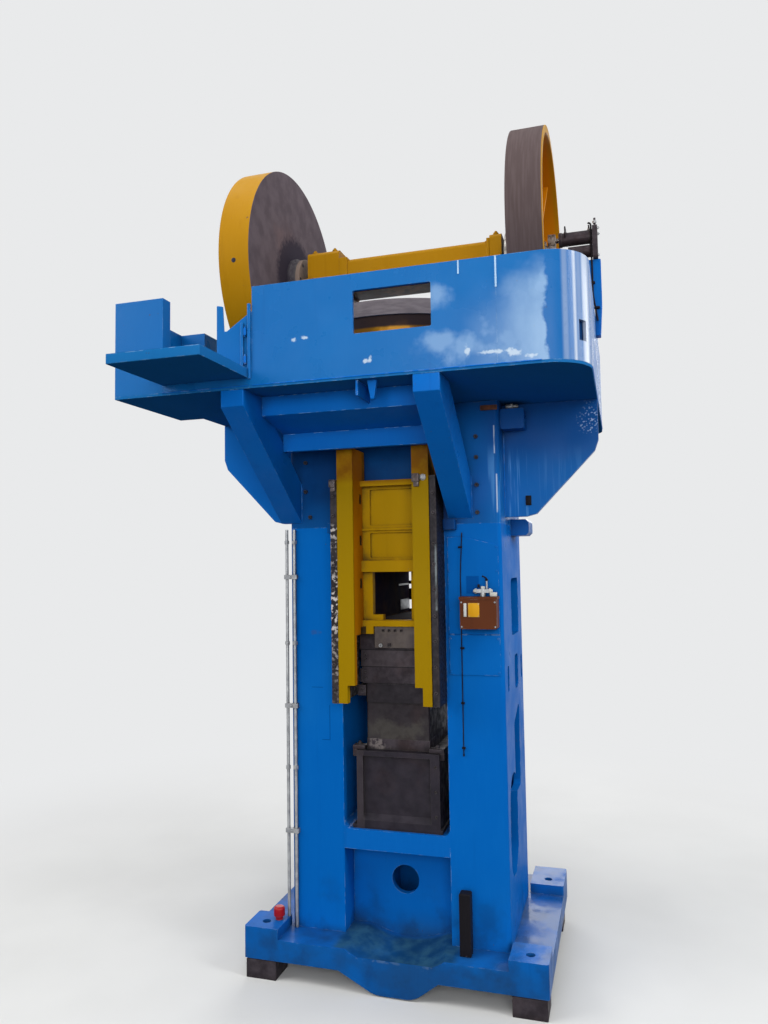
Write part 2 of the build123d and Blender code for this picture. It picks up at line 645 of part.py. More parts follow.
HOUSING_X = (-560, 784)
LEFT_FRAME_X = (-860, -806)
RIGHT_FRAME_X = (830, 885)
LEFT_FOOT_X = (LEFT_FRAME_X[0] - 40, LEFT_FRAME_X[1] + 26)
RIGHT_FOOT_X = (RIGHT_FRAME_X[0] - 50, RIGHT_FRAME_X[1])
left_block_x = (LEFT_FRAME_X[0], HOUSING_X[0])
right_block_x = (HOUSING_X[1], RIGHT_FRAME_X[1])
save(side_frame(LEFT_FRAME_X, LEFT_FOOT_X, left_block_x, SHAFT_Z + 242, 165), "left_side_frame")
save(side_frame(RIGHT_FRAME_X, RIGHT_FOOT_X, right_block_x, SHAFT_Z + 197, 160), "right_side_frame")
HOUSING_HALF = 150
housing = block(*HOUSING_X, -HOUSING_HALF, HOUSING_HALF, SHAFT_Z - HOUSING_HALF, SHAFT_Z + HOUSING_HALF)
housing = fillet(housing.edges().filter_by(Axis.X), 40)
flange_half = HOUSING_HALF + 14
flange_z = (SHAFT_Z - flange_half, SHAFT_Z + flange_half)
for x0, x1 in ((HOUSING_X[0], HOUSING_X[0] + 75), (HOUSING_X[1] - 26, HOUSING_X[1])):
    housing += block(x0, x1, -flange_half, flange_half, *flange_z)
save(housing - rod_x(SHAFT_R + 20, HOUSING_X[0] - 5, HOUSING_X[1] + 5), "shaft_housing")

# Driven shaft with a dished, ribbed friction disc at each end, against a turned hub
DISC_OUT_X = DISC_FACE_X + DISC_WIDTH
HUB_IN_X = DISC_FACE_X - 115
HUB_OUT = 160
NUT_T = 50
hub_profile = [
    (SHAFT_R, HUB_IN_X),
    (235, HUB_IN_X),
    (235, HUB_IN_X + 80),
    (250, HUB_IN_X + 80),
    (250, DISC_FACE_X),
    (SHAFT_R, DISC_FACE_X),
]
hub = turned_x(hub_profile)
save(hub, "right_hub")
save(mirrored(hub), "left_hub")
disc_profile = [
    (SHAFT_R, DISC_FACE_X),
    (DISC_R, DISC_FACE_X),
    (DISC_R, DISC_OUT_X),
    (DISC_R - 55, DISC_OUT_X),
    (DISC_R - 75, DISC_FACE_X + 70),
    (260, DISC_FACE_X + 55),
    (215, DISC_FACE_X + HUB_OUT),
    (SHAFT_R, DISC_FACE_X + HUB_OUT),
]
disc = turned_x(disc_profile)
rib_outline = [
    (DISC_FACE_X + 40, SHAFT_Z + 225),
    (DISC_FACE_X + 150, SHAFT_Z + 225),
    (DISC_FACE_X + 200, SHAFT_Z + DISC_R - 62),
    (DISC_FACE_X + 40, SHAFT_Z + DISC_R - 62),
]
rib = prism_xz(rib_outline, -14, 14)
RIBS = 6
for i in range(RIBS):
    disc += rib.rotate(Axis((0, 0, SHAFT_Z), (1, 0, 0)), 360 / RIBS * i + 30)
save(disc, "right_disc")
save(mirrored(disc), "left_disc")

JOURNAL_R = 45
THRUST_R = 60
nut_end = DISC_FACE_X + HUB_OUT + NUT_T
thrust_x = (nut_end + 30, nut_end + 60)
shaft = rod_x(SHAFT_R, -nut_end - 30, nut_end)
shaft += rod_x(JOURNAL_R, nut_end, thrust_x[0])
shaft += rod_x(THRUST_R, *thrust_x)
lock_nut = Rot(0, 90, 0) * extrude(RegularPolygon(130, 8), NUT_T)
for x in (-nut_end, nut_end - NUT_T):
    shaft += Pos(x, 0, SHAFT_Z) * lock_nut
save(shaft, "disc_shaft")

# Shift carriage: a cup round the shaft's thrust collar, its piston rod and its guide bar
GUIDE_BAR_R = 30
PISTON_R = 20
CYLINDER_Z = SHAFT_Z + 120
CUP_R = 85
cup_end = thrust_x[1] + 18
cup_profile = [
    (0, thrust_x[1] + SLIDING),
    (0, cup_end),
    (CUP_R, cup_end),
    (CUP_R, nut_end + SLIDING),
    (JOURNAL_R + RUNNING, nut_end + SLIDING),
    (JOURNAL_R + RUNNING, thrust_x[0] - SLIDING),
    (THRUST_R + SLIDING, thrust_x[0] - SLIDING),
    (THRUST_R + SLIDING, thrust_x[1] + SLIDING),
]
carriage = turned_x(cup_profile)
carriage += block(cup_end - 60, cup_end, -50, 50, SHAFT_Z + 72, CYLINDER_Z + 42)
carriage += rod_x(PISTON_R, cup_end, 1470, 0, CYLINDER_Z)
carriage += rod_x(GUIDE_BAR_R, cup_end, 1545)
save(carriage, "thrust_cup")

# Shift cylinder and guide sleeve on one end plate, carried by a bracket on the guard
PLATE_X = (1618, 1658)
SLEEVE_X = 1420
CYLINDER_X = 1346
cylinder = rod_x(56, CYLINDER_X, PLATE_X[0], 0, CYLINDER_Z)
for x in (CYLINDER_X, PLATE_X[0] - 26):
    cylinder += rod_x(61, x, x + 26, 0, CYLINDER_Z)
cylinder += rod_x(50, SLEEVE_X, PLATE_X[0])
END_PLATE_Z = (SHAFT_Z - 90, SHAFT_Z + 190)
end_plate = block(*PLATE_X, -85, 85, *END_PLATE_Z)
cylinder += fillet(end_plate.edges().filter_by(Axis.X), 20)
cylinder += rod_z(9, END_PLATE_Z[1] - 5, END_PLATE_Z[1] + 85, sum(PLATE_X) / 2)
cylinder -= rod_x(PISTON_R + RUNNING, CYLINDER_X - 5, 1500, 0, CYLINDER_Z)
cylinder -= rod_x(GUIDE_BAR_R + RUNNING, SLEEVE_X - 5, 1575)
save(cylinder, "shift_cylinder")
bracket_outline = [
    (1548, END_PLATE_Z[0]),
    (1678, END_PLATE_Z[0]),
    (1678, 5165),
    (1660, 4900),
    (GUARD_HALF, 4900),
    (GUARD_HALF, 5165),
]
save(prism_xz(bracket_outline, -45, 45), "cylinder_bracket")

# Fittings: cover plate and oil box on the right upright, oil pipes on the left
COVER_T = 8
COVER_DROP = 102
COVER_TOP = JOINT_Z - COVER_DROP
cover_x = (OPENING_HALF + 25, COLUMN_HALF - 25)
cover_outline = [
    (cover_x[0], 2200),
    (cover_x[1], 2200),
    (cover_x[1], COVER_TOP - 68),
    (cover_x[0] + 115, COVER_TOP),
    (cover_x[0], COVER_TOP),
]
cover = prism_xz(cover_outline, COLUMN_FRONT - COVER_T, COLUMN_FRONT)
cover -= block(*cover_x, COLUMN_FRONT - COVER_T - 1, COLUMN_FRONT - COVER_T + 4, 2508, 2514)
save(cover, "upright_cover")
BOX_FRONT = COLUMN_FRONT - COVER_T - 120
BOX_X = (COLUMN_HALF - 310, COLUMN_HALF - 30)
VALVE_X = BOX_X[0] + 170
oil_box = block(*BOX_X, BOX_FRONT, COLUMN_FRONT - COVER_T, 2563, 2790)
oil_box = fillet(oil_box.edges().filter_by(Axis.Y), 14)
oil_box += block(BOX_X[0] - 6, BOX_X[1] + 6, BOX_FRONT - 5, COLUMN_FRONT - COVER_T, 2786, 2806)
save(oil_box, "oil_box")
valve = rod_z(22, 2806, 2870, VALVE_X, BOX_FRONT + 60)
valve += block(VALVE_X - 50, VALVE_X + 50, BOX_FRONT + 40, BOX_FRONT + 80, 2835, 2862)
valve += rod_z(7, 2862, 2930, VALVE_X + 30, BOX_FRONT + 60)
save(valve, "oil_valve")

PIPE_R = 13
PIPE_Y = COLUMN_FRONT - 16
PIPE_X = (-COLUMN_HALF - 25, -COLUMN_HALF + 42)
PIPE_GAP = 10
PIPE_TOP = JOINT_Z - PIPE_GAP
pipes = rod_z(PIPE_R, LUG_TOP, PIPE_TOP, PIPE_X[0], PIPE_Y)
pipes += rod_z(PIPE_R, FLANGE_TOP, PIPE_TOP, PIPE_X[1], PIPE_Y)
for clip_z in (900, 1900, 2950):
    pipes += block(PIPE_X[0] - 20, PIPE_X[1] + 25, PIPE_Y - 17, COLUMN_FRONT, clip_z, clip_z + 36)
save(pipes, "oil_pipes")
cap = rod_z(30, LUG_TOP, LUG_TOP + 35, -960, -640)
cap += rod_z(44, LUG_TOP + 30, LUG_TOP + 100, -960, -640)
save(fillet(cap.edges().group_by(Axis.Z)[-1], 20), "filler_cap")
post = block(520, 605, -700, -615, FLANGE_TOP, 612)
save(chamfer(post.edges().group_by(Axis.Z)[-1], 6), "front_post")
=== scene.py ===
"""Looks of the friction screw press: paint, metal, fasteners, welds, light and camera.

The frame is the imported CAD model's: metres, +Z up, front towards -Y, screw on the Z axis.
Pieces are placed in mm, with heights from the base casting's underside, PAD above the floor.
"""
import json
import math
import random
from contextlib import contextmanager
from itertools import product

import bmesh
import bpy
from mathutils import Matrix, Vector


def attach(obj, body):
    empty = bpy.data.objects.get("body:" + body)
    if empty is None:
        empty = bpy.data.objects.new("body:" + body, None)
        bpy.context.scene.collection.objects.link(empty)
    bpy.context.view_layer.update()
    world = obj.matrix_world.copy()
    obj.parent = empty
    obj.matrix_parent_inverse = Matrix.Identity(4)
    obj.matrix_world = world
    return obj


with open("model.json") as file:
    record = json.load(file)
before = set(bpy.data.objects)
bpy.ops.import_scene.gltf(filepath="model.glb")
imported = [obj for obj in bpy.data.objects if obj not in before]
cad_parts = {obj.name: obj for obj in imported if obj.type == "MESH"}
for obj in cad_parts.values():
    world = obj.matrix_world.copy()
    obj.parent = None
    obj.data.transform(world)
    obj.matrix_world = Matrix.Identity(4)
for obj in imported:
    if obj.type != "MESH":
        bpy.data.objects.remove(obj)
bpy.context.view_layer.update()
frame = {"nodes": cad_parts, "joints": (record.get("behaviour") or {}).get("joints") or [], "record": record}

NODES = frame["nodes"]
scene = bpy.context.scene


def span(node_name, axis):
    """Where a CAD node starts and ends along an axis, in whole mm of the frame."""
    values = [vertex.co["xyz".index(axis)] for vertex in NODES[node_name].data.vertices]
    return round(min(values) * 1000), round(max(values) * 1000)


# Faces of the CAD model across and along the press, in mm
COLUMN_HALF = span("right_upright", "x")[1]
COLUMN_FRONT, COLUMN_BACK = span("right_upright", "y")
COVER_FACE = span("upright_cover", "y")[0]
BOX_FACE = COVER_FACE - 120
LEG_FRONT = span("ram", "y")[0]
GUIDE_BACK = span("guide_rear_left", "y")[1]
HOLDER_FRONT = span("upper_die_holder", "y")[0]
UPPER_DIE_FRONT = span("upper_die", "y")[0]
WING_FRONT, WING_BACK = span("left_wing", "y")
ACCESS_X = span("access_plate", "x")[1]
PANEL_X, SEAM_X = span("guard_front_wall", "x")
REAR_SEAM_X = span("guard_rear_wall", "x")[0]
GUARD_RIGHT = span("guard_right_wall", "x")[1]
GUARD_FRONT, GUARD_BACK = span("guard_right_wall", "y")

# Levels of the CAD model in mm, from the base casting's underside
PAD = span("pad_front_left", "z")[1]
BOLSTER_TOP = span("bolster", "z")[1] - PAD
BRACE_FOOT = span("front_brace_left", "z")[0] - PAD
WING_FOOT = span("left_wing", "z")[0] - PAD
HEAD_TOP = span("crosshead", "z")[1] - PAD
FLOOR_TOP = span("guard_floor", "z")[1] - PAD
SILL_TOP = span("access_plate", "z")[0] - PAD
GUARD_TOP = span("guard_front_wall", "z")[1] - PAD
DISC_SPIN = next(joint for joint in frame["joints"] if joint["name"] == "disc_spin")
SHAFT_Z = round(DISC_SPIN["pos_m"][2] * 1000) - PAD

# Camera: where the photograph was taken from, solved from the press's straight edges
CAMERA_AT = (1.77, -6.583, 3.223)
CAMERA_YAW = 16.87
CAMERA_PITCH = 3.72
CAMERA_ROLL = -0.877
FOCAL_PIXELS = 783.6
IMAGE_HEIGHT = 1024
SENSOR_WIDTH = 36.0


def srgb(red, green, blue):
    """Linear colour from 0-255 screen values."""
    out = []
    for value in (red, green, blue):
        c = value / 255
        out.append(c / 12.92 if c <= 0.04045 else ((c + 0.055) / 1.055) ** 2.4)
    return (*out, 1.0)


# Colours matched to the photograph
BLUE_DEEP = srgb(2, 72, 150)
# Worn edges, and painted highlights along them
BLUE_CHIP_AND_HIGHLIGHT = srgb(150, 182, 210)
# Pale blue of painted reflections and highlights
PALE_BLUE_HIGHLIGHT = srgb(176, 208, 236)
YELLOW_DEEP = srgb(144, 100, 2)
# Oil brown, and painted shade high on the ram
OIL_AND_SHADE_ORANGE = srgb(118, 66, 6)
# Dirt low down, and painted shade in corners
GRIME_AND_SHADE = srgb(26, 24, 28)
LINING = srgb(100, 90, 96)
LINING_DARK = srgb(86, 77, 83)
STEEL = srgb(150, 146, 142)
STEEL_DARK = srgb(74, 66, 72)
STEEL_BLACK = srgb(40, 34, 40)
RUST = srgb(96, 58, 34)
# Grease, and painted shade in crevices and slots
GREASE_AND_SHADE = srgb(30, 26, 24)
BLACK = srgb(24, 22, 26)
BACKDROP = srgb(233, 234, 235)

# Colour sockets of a Mix node, whose sockets share their names
MIX_FIRST, MIX_SECOND, MIX_RESULT = 6, 7, 2
NOISE_ROUGHNESS = 0.55


class Tree:
    """Builds a node tree."""

    def __init__(self, tree):
        self.tree = tree

    def feed(self, socket, value):
        """Wires an output to the socket, or sets a plain value on it."""
        if isinstance(value, bpy.types.NodeSocket):
            self.tree.links.new(value, socket)
        else:
            socket.default_value = value

    def add(self, kind, inputs=None, **settings):
        """A new shader node, its inputs wired or set."""
        node = self.tree.nodes.new(f"ShaderNode{kind}")
        for key, value in settings.items():
            setattr(node, key, value)
        for key, value in (inputs or {}).items():
            self.feed(node.inputs[key], value)
        return node

    def math(self, operation, first, second=0.5):
        node = self.add("Math", operation=operation)
        self.feed(node.inputs[0], first)
        self.feed(node.inputs[1], second)
        return node.outputs[0]

    def join(self, operation, values):
        out = values[0]
        for value in values[1:]:
            out = self.math(operation, out, value)
        return out

    def times(self, *values):
        """All the values multiplied."""
        return self.join("MULTIPLY", values)

    def most(self, *values):
        """The largest of the values."""
        return self.join("MAXIMUM", values)

    def blend(self, amount, first, second):
        """The first shader where amount is 0, the second where it is 1."""
        return self.add("MixShader", {0: amount, 1: first, 2: second}).outputs[0]

    def surface(self, output, shader):
        self.feed(self.tree.nodes[output].inputs["Surface"], shader)


class Shader(Tree):
    """Builds one node material whose places are metres of the frame.

    tone and roughness are its colour and roughness so far.
    """

    def __init__(self, name):
        self.material = bpy.data.materials.new(name)
        self.material.use_nodes = True
        super().__init__(self.material.node_tree)
        self.bsdf = self.tree.nodes["Principled BSDF"]
        self.place = self.add("TexCoord").outputs["Object"]
        split = self.add("SeparateXYZ", {"Vector": self.place})
        self.x, self.y, self.z = split.outputs

    def noise(self, scale, detail=3.0, stretch=None):
        """Noise in 0-1 at scale per metre, optionally stretched along the axes."""
        where = self.place
        if stretch:
            where = self.add("Mapping", {"Vector": where, "Scale": stretch}).outputs[0]
        values = {"Vector": where, "Scale": scale, "Detail": detail, "Roughness": NOISE_ROUGHNESS}
        return self.add("TexNoise", values).outputs["Fac"]

    def ramp(self, value, low, high, to_low=0.0, to_high=1.0):
        """Turns low-high into to_low-to_high, smoothly; low may lie above high."""
        names = ("Value", "From Min", "From Max", "To Min", "To Max")
        values = dict(zip(names, (value, low, high, to_low, to_high)))
        return self.add("MapRange", values, interpolation_type="SMOOTHSTEP").outputs[0]

    def mix(self, amount, first, second):
        """The first colour where amount is 0, the second where it is 1."""
        node = self.add("Mix", data_type="RGBA")
        self.feed(node.inputs[0], amount)
        self.feed(node.inputs[MIX_FIRST], first)
        self.feed(node.inputs[MIX_SECOND], second)
        return node.outputs[MIX_RESULT]

    def cloud(self, scale, detail, low, high, to_low=0.0, to_high=1.0, stretch=None):
        """Noise with its low-high range turned into to_low-to_high."""
        return self.ramp(self.noise(scale, detail, stretch), low, high, to_low, to_high)

    def stain(self, colour, *amounts):
        """Lays a colour over the tone so far, as strong as the amounts multiplied."""
        self.tone = self.mix(self.times(*amounts), self.tone, colour)

    def sheen(self, roughness, amount):
        """Brings the roughness so far to a plain value where amount is 1."""
        plain = (roughness, roughness, roughness, 1.0)
        self.roughness = self.mix(amount, self.roughness, plain)

    def inside(self, x=None, y=None, z=None, soft=0.003):
        """1 inside the given ranges in metres, 0 outside, fading over soft."""
        out = None
        for value, ends in ((self.x, x), (self.y, y), (self.z, z)):
            if ends is None:
                continue
            for low, high in ((ends[0] - soft, ends[0] + soft), (ends[1] + soft, ends[1] - soft)):
                edge = self.ramp(value, low, high)
                out = edge if out is None else self.times(out, edge)
        return out

    def blotch(self, centre, size, scale=4.0):
        """A soft patch with a ragged edge, round centre, size metres across along each axis."""
        shifted = self.add("VectorMath", {0: self.place, 1: centre}, operation="SUBTRACT")
        shares = self.add("VectorMath", {0: shifted.outputs[0], 1: size}, operation="DIVIDE")
        away = self.add("VectorMath", {0: shares.outputs[0]}, operation="LENGTH")
        raggedness = self.ramp(self.noise(scale, 4.0), 0.2, 0.8, -0.3, 0.3)
        return self.ramp(self.math("ADD", away.outputs["Value"], raggedness), 0.55, 0.15)

    def from_shaft(self):
        """Distance from the disc shaft's axis in metres."""
        rise = self.math("SUBTRACT", self.z, (SHAFT_Z + PAD) / 1000)
        squares = self.math("ADD", self.times(self.y, self.y), self.times(rise, rise))
        return self.math("SQRT", squares)

    def crevice(self, distance=0.12):
        """1 in corners where dirt settles and shade falls, 0 on open faces."""
        node = self.add("AmbientOcclusion", {"Distance": distance}, samples=6)
        return self.ramp(node.outputs["AO"], 0.80, 0.30)

    def edges(self, radius=0.010):
        """1 along sharp edges, 0 on flats."""
        rounded = self.add("Bevel", {"Radius": radius}, samples=4).outputs["Normal"]
        flat = self.add("NewGeometry").outputs["Normal"]
        dot = self.add("VectorMath", {0: rounded, 1: flat}, operation="DOT_PRODUCT")
        return self.ramp(dot.outputs["Value"], 0.985, 0.88)

    def facing_up(self):
        """1 on faces that look upwards, 0 on upright and overhanging ones."""
        normal = self.add("NewGeometry").outputs["Normal"]
        rise = self.add("SeparateXYZ", {"Vector": normal}).outputs["Z"]
        return self.ramp(rise, 0.7, 0.95)

    def bump(self, height, strength, distance=0.002):
        """Fine relief; distance is its depth in metres."""
        values = {"Height": height, "Strength": strength, "Distance": distance}
        self.feed(self.bsdf.inputs["Normal"], self.add("Bump", values).outputs[0])

    def finish(self, metallic, specular):
        """Sets the surface's inputs and gives back the material."""
        self.feed(self.bsdf.inputs["Base Color"], self.tone)
        self.feed(self.bsdf.inputs["Roughness"], self.roughness)
        self.feed(self.bsdf.inputs["Metallic"], metallic)
        self.feed(self.bsdf.inputs["Specular IOR Level"], specular)
        return self.material


def paint(name, tones, chip_and_highlight=BLUE_CHIP_AND_HIGHLIGHT, corner_dirt_and_shade=0.55, rough=0.30, specular=0.05, wear_and_highlight=0.32, overlay=None):
    """Brushed machine enamel: soft tone changes, run marks, worn edges, and dirt with painted shade in the
    corners.

    tones are its main, worn and deep colours; the edge colour shows at worn edges, and where the edge amount
    is high it is also a painted highlight along them.
    overlay(shader) adds the marks of one piece.
    """
    colour, worn, deep = tones
    s = Shader(name)
    s.tone = s.mix(s.cloud(0.9, 3.0, 0.42, 0.76, 0.0, 0.42), colour, worn)
    s.stain(deep, s.cloud(0.55, 2.0, 0.50, 0.78, 0.0, 0.42))
    runs_and_reflections = s.noise(13.0, 3.0, (1.0, 1.0, 0.05))
    s.stain(deep, s.ramp(runs_and_reflections, 0.58, 0.74, 0.0, 0.16))
    brush = s.noise(70.0, 2.0, (1.0, 1.0, 0.10))
    s.stain(worn, s.ramp(brush, 0.45, 0.80, 0.0, 0.10))
    low = s.ramp(s.z, 1.0, 0.15, 0.0, 0.40)
    s.stain(GRIME_AND_SHADE, low, s.cloud(5.0, 5.0, 0.46, 0.72))
    # Painted shade with dirt in the corners
    corner = s.times(s.crevice(), s.cloud(7.0, 4.0, 0.30, 0.62, 0.25, corner_dirt_and_shade))
    s.stain(GRIME_AND_SHADE, corner)
    patchy = s.cloud(17.0, 5.0, 0.48, 0.62)
    # Worn edges, and painted highlights along them where the amount is high
    s.stain(chip_and_highlight, s.edges(), patchy, wear_and_highlight)
    speck = s.times(s.cloud(38.0, 2.0, 0.735, 0.76), s.cloud(1.6, 2.0, 0.5, 0.62))
    s.stain(STEEL_DARK, speck, 0.8)
    s.roughness = s.cloud(3.4, 4.0, 0.25, 0.75, rough - 0.05, rough + 0.16)
    if overlay:
        overlay(s)
    s.bump(s.math("ADD", s.noise(110.0, 2.0), s.times(s.noise(6.0, 2.0), 1.5)), 0.16, 0.0015)
    return s.finish(0.0, specular)


def metal(
    name, light, dark, rust=0.3, rough=0.42, scale=9.0, metallic=0.6, worn=0.35, overlay=None
):
    """Worked steel with oil and light rust, grease and painted shade in its crevices; worn is how bright its
    edges are rubbed.
    """
    s = Shader(name)
    s.tone = s.mix(s.cloud(scale, 6.0, 0.32, 0.66), dark, light)
    spots = s.cloud(4.0, 6.0, 0.50, 0.72, 0.0, rust)
    s.stain(RUST, spots)
    # Painted shade with grease in the crevices
    s.stain(GREASE_AND_SHADE, s.crevice(0.08), 0.7)
    s.stain(STEEL, s.edges(0.006), worn)
    s.roughness = s.cloud(scale * 2.3, 4.0, 0.3, 0.7, rough - 0.10, rough + 0.22)
    if overlay:
        overlay(s)
    s.bump(s.noise(scale * 9, 4.0), 0.25, 0.0015)
    return s.finish(metallic, 0.25)


def lining(name, light, dark, stretch):
    """Matt friction lining, smeared along the way it rubs."""
    s = Shader(name)
    s.tone = s.mix(s.cloud(9.0, 4.0, 0.34, 0.66, stretch=stretch), dark, light)
    s.roughness = s.cloud(8.0, 3.0, 0.3, 0.7, 0.72, 0.90)
    s.bump(s.noise(60.0, 4.0, stretch), 0.35, 0.002)
    return s.finish(0.0, 0.25)


BLUES = (srgb(6, 102, 190), srgb(24, 122, 206), BLUE_DEEP)
GUARD_BLUES = (srgb(8, 100, 170), srgb(26, 118, 190), srgb(2, 78, 144))
DUSTY_BLUES = (srgb(28, 104, 166), srgb(46, 120, 184), srgb(22, 82, 142))
# Darker blues: painted shade on the crosshead and wing under the guard
SHADED_HEAD_BLUES = (srgb(6, 86, 158), srgb(24, 106, 180), srgb(2, 58, 120))
YELLOWS = (srgb(178, 138, 2), srgb(194, 154, 12), YELLOW_DEEP)
DRIVE_YELLOWS = (srgb(168, 120, 12), srgb(184, 140, 36), srgb(130, 84, 6))

# Marks of single nodes, placed from the photograph in metres of the frame
FRONT_SKIN = (-0.60, -0.54)
DISC_FACE_FADE = (1.0335, 1.0310)
# Centre and size of each patch of painted reflection
REFLECTION_PATCHES = (
    ((0.66, -1.6, 4.99), (0.24, 0.5, 0.22)),
    ((0.66, -1.6, 4.68), (0.34, 0.5, 0.18)),
    ((0.86, -1.6, 4.62), (0.46, 0.5, 0.24)),
    ((1.08, -1.6, 4.66), (0.44, 0.5, 0.34)),
)
# Left and right x of each painted reflection stripe, and how strong it is
CORNER_REFLECTIONS = (
    (1.456, 1.488, 0.26),
    (1.488, 1.521, 0.06),
    (1.523, 1.538, 0.80),
    (1.541, 1.572, 0.26),
    (1.574, 1.61, 0.75),
)
# x, z, width and height of the painted highlight in each of the dents
DENT_HIGHLIGHTS = (
    (-0.38, 4.79, 0.05, 0.03),
    (-0.30, 4.80, 0.05, 0.03),
    (0.145, 4.595, 0.05, 0.04),
    (0.175, 4.60, 0.03, 0.05),
    (1.02, 4.575, 0.20, 0.03),
    (1.15, 4.56, 0.10, 0.06),
    (1.26, 4.53, 0.08, 0.03),
    (0.84, 4.60, 0.05, 0.07),
)


def guard_marks(s):
    """Painted reflections: a pale cloud on the right half and pale stripes round the corner; painted
    highlights in dents.
    """
    cloudy = s.cloud(3.2, 5.0, 0.28, 0.66, 0.45, 1.0, stretch=(1.0, 1.0, 0.55))
    rising = {"Value": s.x, "From Min": 0.80, "From Max": 1.30}
    reach = s.add("MapRange", rising).outputs[0]
    waver = s.cloud(9.0, 4.0, 0.3, 0.7, -0.02, 0.02)
    right_edge = s.ramp(s.math("ADD", s.x, waver), 1.365, 1.335)
    slope = s.math("ADD", s.z, s.times(s.x, -0.60))
    drift = s.cloud(2.6, 4.0, 0.2, 0.8, -0.12, 0.12)
    lower = s.ramp(s.math("ADD", slope, drift), 4.42, 4.18)
    reflection_haze = s.times(reach, right_edge, lower, cloudy)
    for centre, size in REFLECTION_PATCHES:
        reflection_haze = s.most(reflection_haze, s.times(s.blotch(centre, size), 0.62))
    # Painted reflection on the right half
    s.stain(PALE_BLUE_HIGHLIGHT, reflection_haze, 0.58)
    stripes = 0.0
    for low, high, amount in CORNER_REFLECTIONS:
        stripes = s.most(stripes, s.times(s.inside(x=(low, high), soft=0.012), amount))
    round_corner = s.ramp(s.y, -1.15, -1.32)
    streaky = s.cloud(7.0, 3.0, 0.3, 0.6, 0.7, 1.0, stretch=(1.0, 1.0, 0.10))
    corner = s.times(stripes, round_corner, streaky)
    # Painted reflections round the corner
    s.stain(srgb(222, 228, 234), corner)
    for x, z, wide, high in DENT_HIGHLIGHTS:
        dent_highlight = s.blotch((x, -1.6, z), (wide, 0.1, high), 30.0)
        # Painted highlights in the dents
        s.stain(srgb(198, 214, 228), dent_highlight, 0.8)
    s.sheen(0.14, corner)


def base_marks(s):
    """Rubbed patina in the drain trough, and a wet pale film on the right lugs' tops."""
    dusty = s.cloud(3.0, 5.0, 0.30, 0.62, 0.15, 0.55)
    dust_and_shade = s.times(s.ramp(s.z, 0.50, 0.22), dusty)
    s.stain(srgb(34, 58, 84), dust_and_shade)
    trough = s.inside(x=(-0.44, 0.50), z=(0.10, 0.36), soft=0.04)
    trough = s.times(trough, s.ramp(s.y, -0.812, -0.800))
    trough = s.times(trough, s.ramp(s.y, -0.34, -0.40))
    stain = s.mix(s.cloud(7.0, 6.0, 0.36, 0.68), srgb(18, 58, 94), srgb(48, 90, 112))
    rubbed = s.times(trough, s.cloud(2.2, 4.0, 0.30, 0.52, 0.50, 0.85))
    s.stain(stain, rubbed)
    film = s.times(s.facing_up(), s.inside(x=(0.80, 1.25), z=(0.25, 0.45), soft=0.03))
    film = s.times(film, s.cloud(4.0, 4.0, 0.36, 0.60))
    s.stain(srgb(110, 124, 136), film, 0.30)
    s.sheen(0.12, film)


def column_marks(s):
    """A square of fresher paint beside the oil box's valve."""
    fresh = s.inside(x=(0.600, 0.700), y=FRONT_SKIN, z=(2.975, 3.112), soft=0.004)
    s.stain(BLUE_DEEP, fresh, 0.7)


def left_column_marks(s):
    """The outline of a patch let into the front, painted over, and a scuff above it."""
    lines = (
        ((-0.547, -0.542), (1.80, 2.08)),
        ((-0.612, -0.542), (1.80, 1.805)),
        ((-0.70, -0.60), (2.218, 2.222)),
    )
    outline = s.most(*(s.inside(x=x, y=FRONT_SKIN, z=z, soft=0.0015) for x, z in lines))
    s.stain(srgb(2, 56, 118), outline, 0.8)
    scuff = s.blotch((-0.66, -0.55, 2.66), (0.10, 0.1, 0.05), 24.0)
    s.stain(srgb(70, 70, 96), scuff, 0.30)


def crosshead_marks(s):
    """Painted shade between the guides and to the left, light to shade from foot to top on the right;
    painted reflections in thin bands, pale spatter near the edge, and a painted glint on the corner.
    """
    # Painted shade between the guides and to the left
    painted_shade = s.times(s.ramp(s.x, 0.66, 0.44), s.ramp(s.y, -0.40, -0.50))
    uneven = s.cloud(2.4, 5.0, 0.30, 0.66, 0.55, 1.0)
    painted_shade = s.times(painted_shade, uneven, s.ramp(s.x, -0.50, -0.40, 0.70, 0.90))
    left_foot = s.times(s.ramp(s.x, -0.44, -0.50), s.ramp(s.z, 3.84, 3.62))
    painted_shade = s.times(painted_shade, s.math("SUBTRACT", 1.0, s.times(left_foot, 0.65)))
    s.stain(srgb(8, 30, 72), painted_shade)
    reflection_streaks = s.cloud(34.0, 3.0, 0.52, 0.66, stretch=(1.0, 1.0, 0.04))
    right_part = s.times(s.ramp(s.x, 0.70, 0.86), s.ramp(s.y, -0.20, -0.28))
    runs_and_reflections = s.times(right_part, s.ramp(s.z, 4.16, 3.95), s.ramp(s.x, 1.14, 1.02, 0.25, 1.0))
    # Painted light low and painted shade high on the right
    brighter_foot = s.times(right_part, s.ramp(s.z, 4.15, 3.75), 0.45)
    s.stain(srgb(10, 112, 196), brighter_foot)
    darker_top = s.times(right_part, s.ramp(s.z, 3.95, 4.20), 0.45)
    s.stain(srgb(4, 58, 124), darker_top)
    # Painted reflections in thin vertical bands
    s.stain(srgb(92, 160, 220), reflection_streaks, runs_and_reflections, 0.55)
    near_edge = s.blotch((1.57, -0.31, 4.35), (0.18, 0.4, 0.27), 3.0)
    spatter = s.times(near_edge, s.cloud(62.0, 1.0, 0.59, 0.64))
    s.stain(srgb(178, 208, 236), spatter, 0.65)
    # Painted highlight on the corner
    upper = s.inside(x=(0.839, 0.847), y=(-0.60, -0.40), z=(4.06, 4.28))
    lower = s.inside(x=(0.850, 0.860), y=(-0.60, -0.40), z=(3.60, 3.90))
    glint = s.times(s.most(upper, lower), s.cloud(12.0, 3.0, 0.40, 0.55, stretch=(1.0, 1.0, 0.3)))
    s.stain(srgb(200, 216, 232), glint, 0.75)


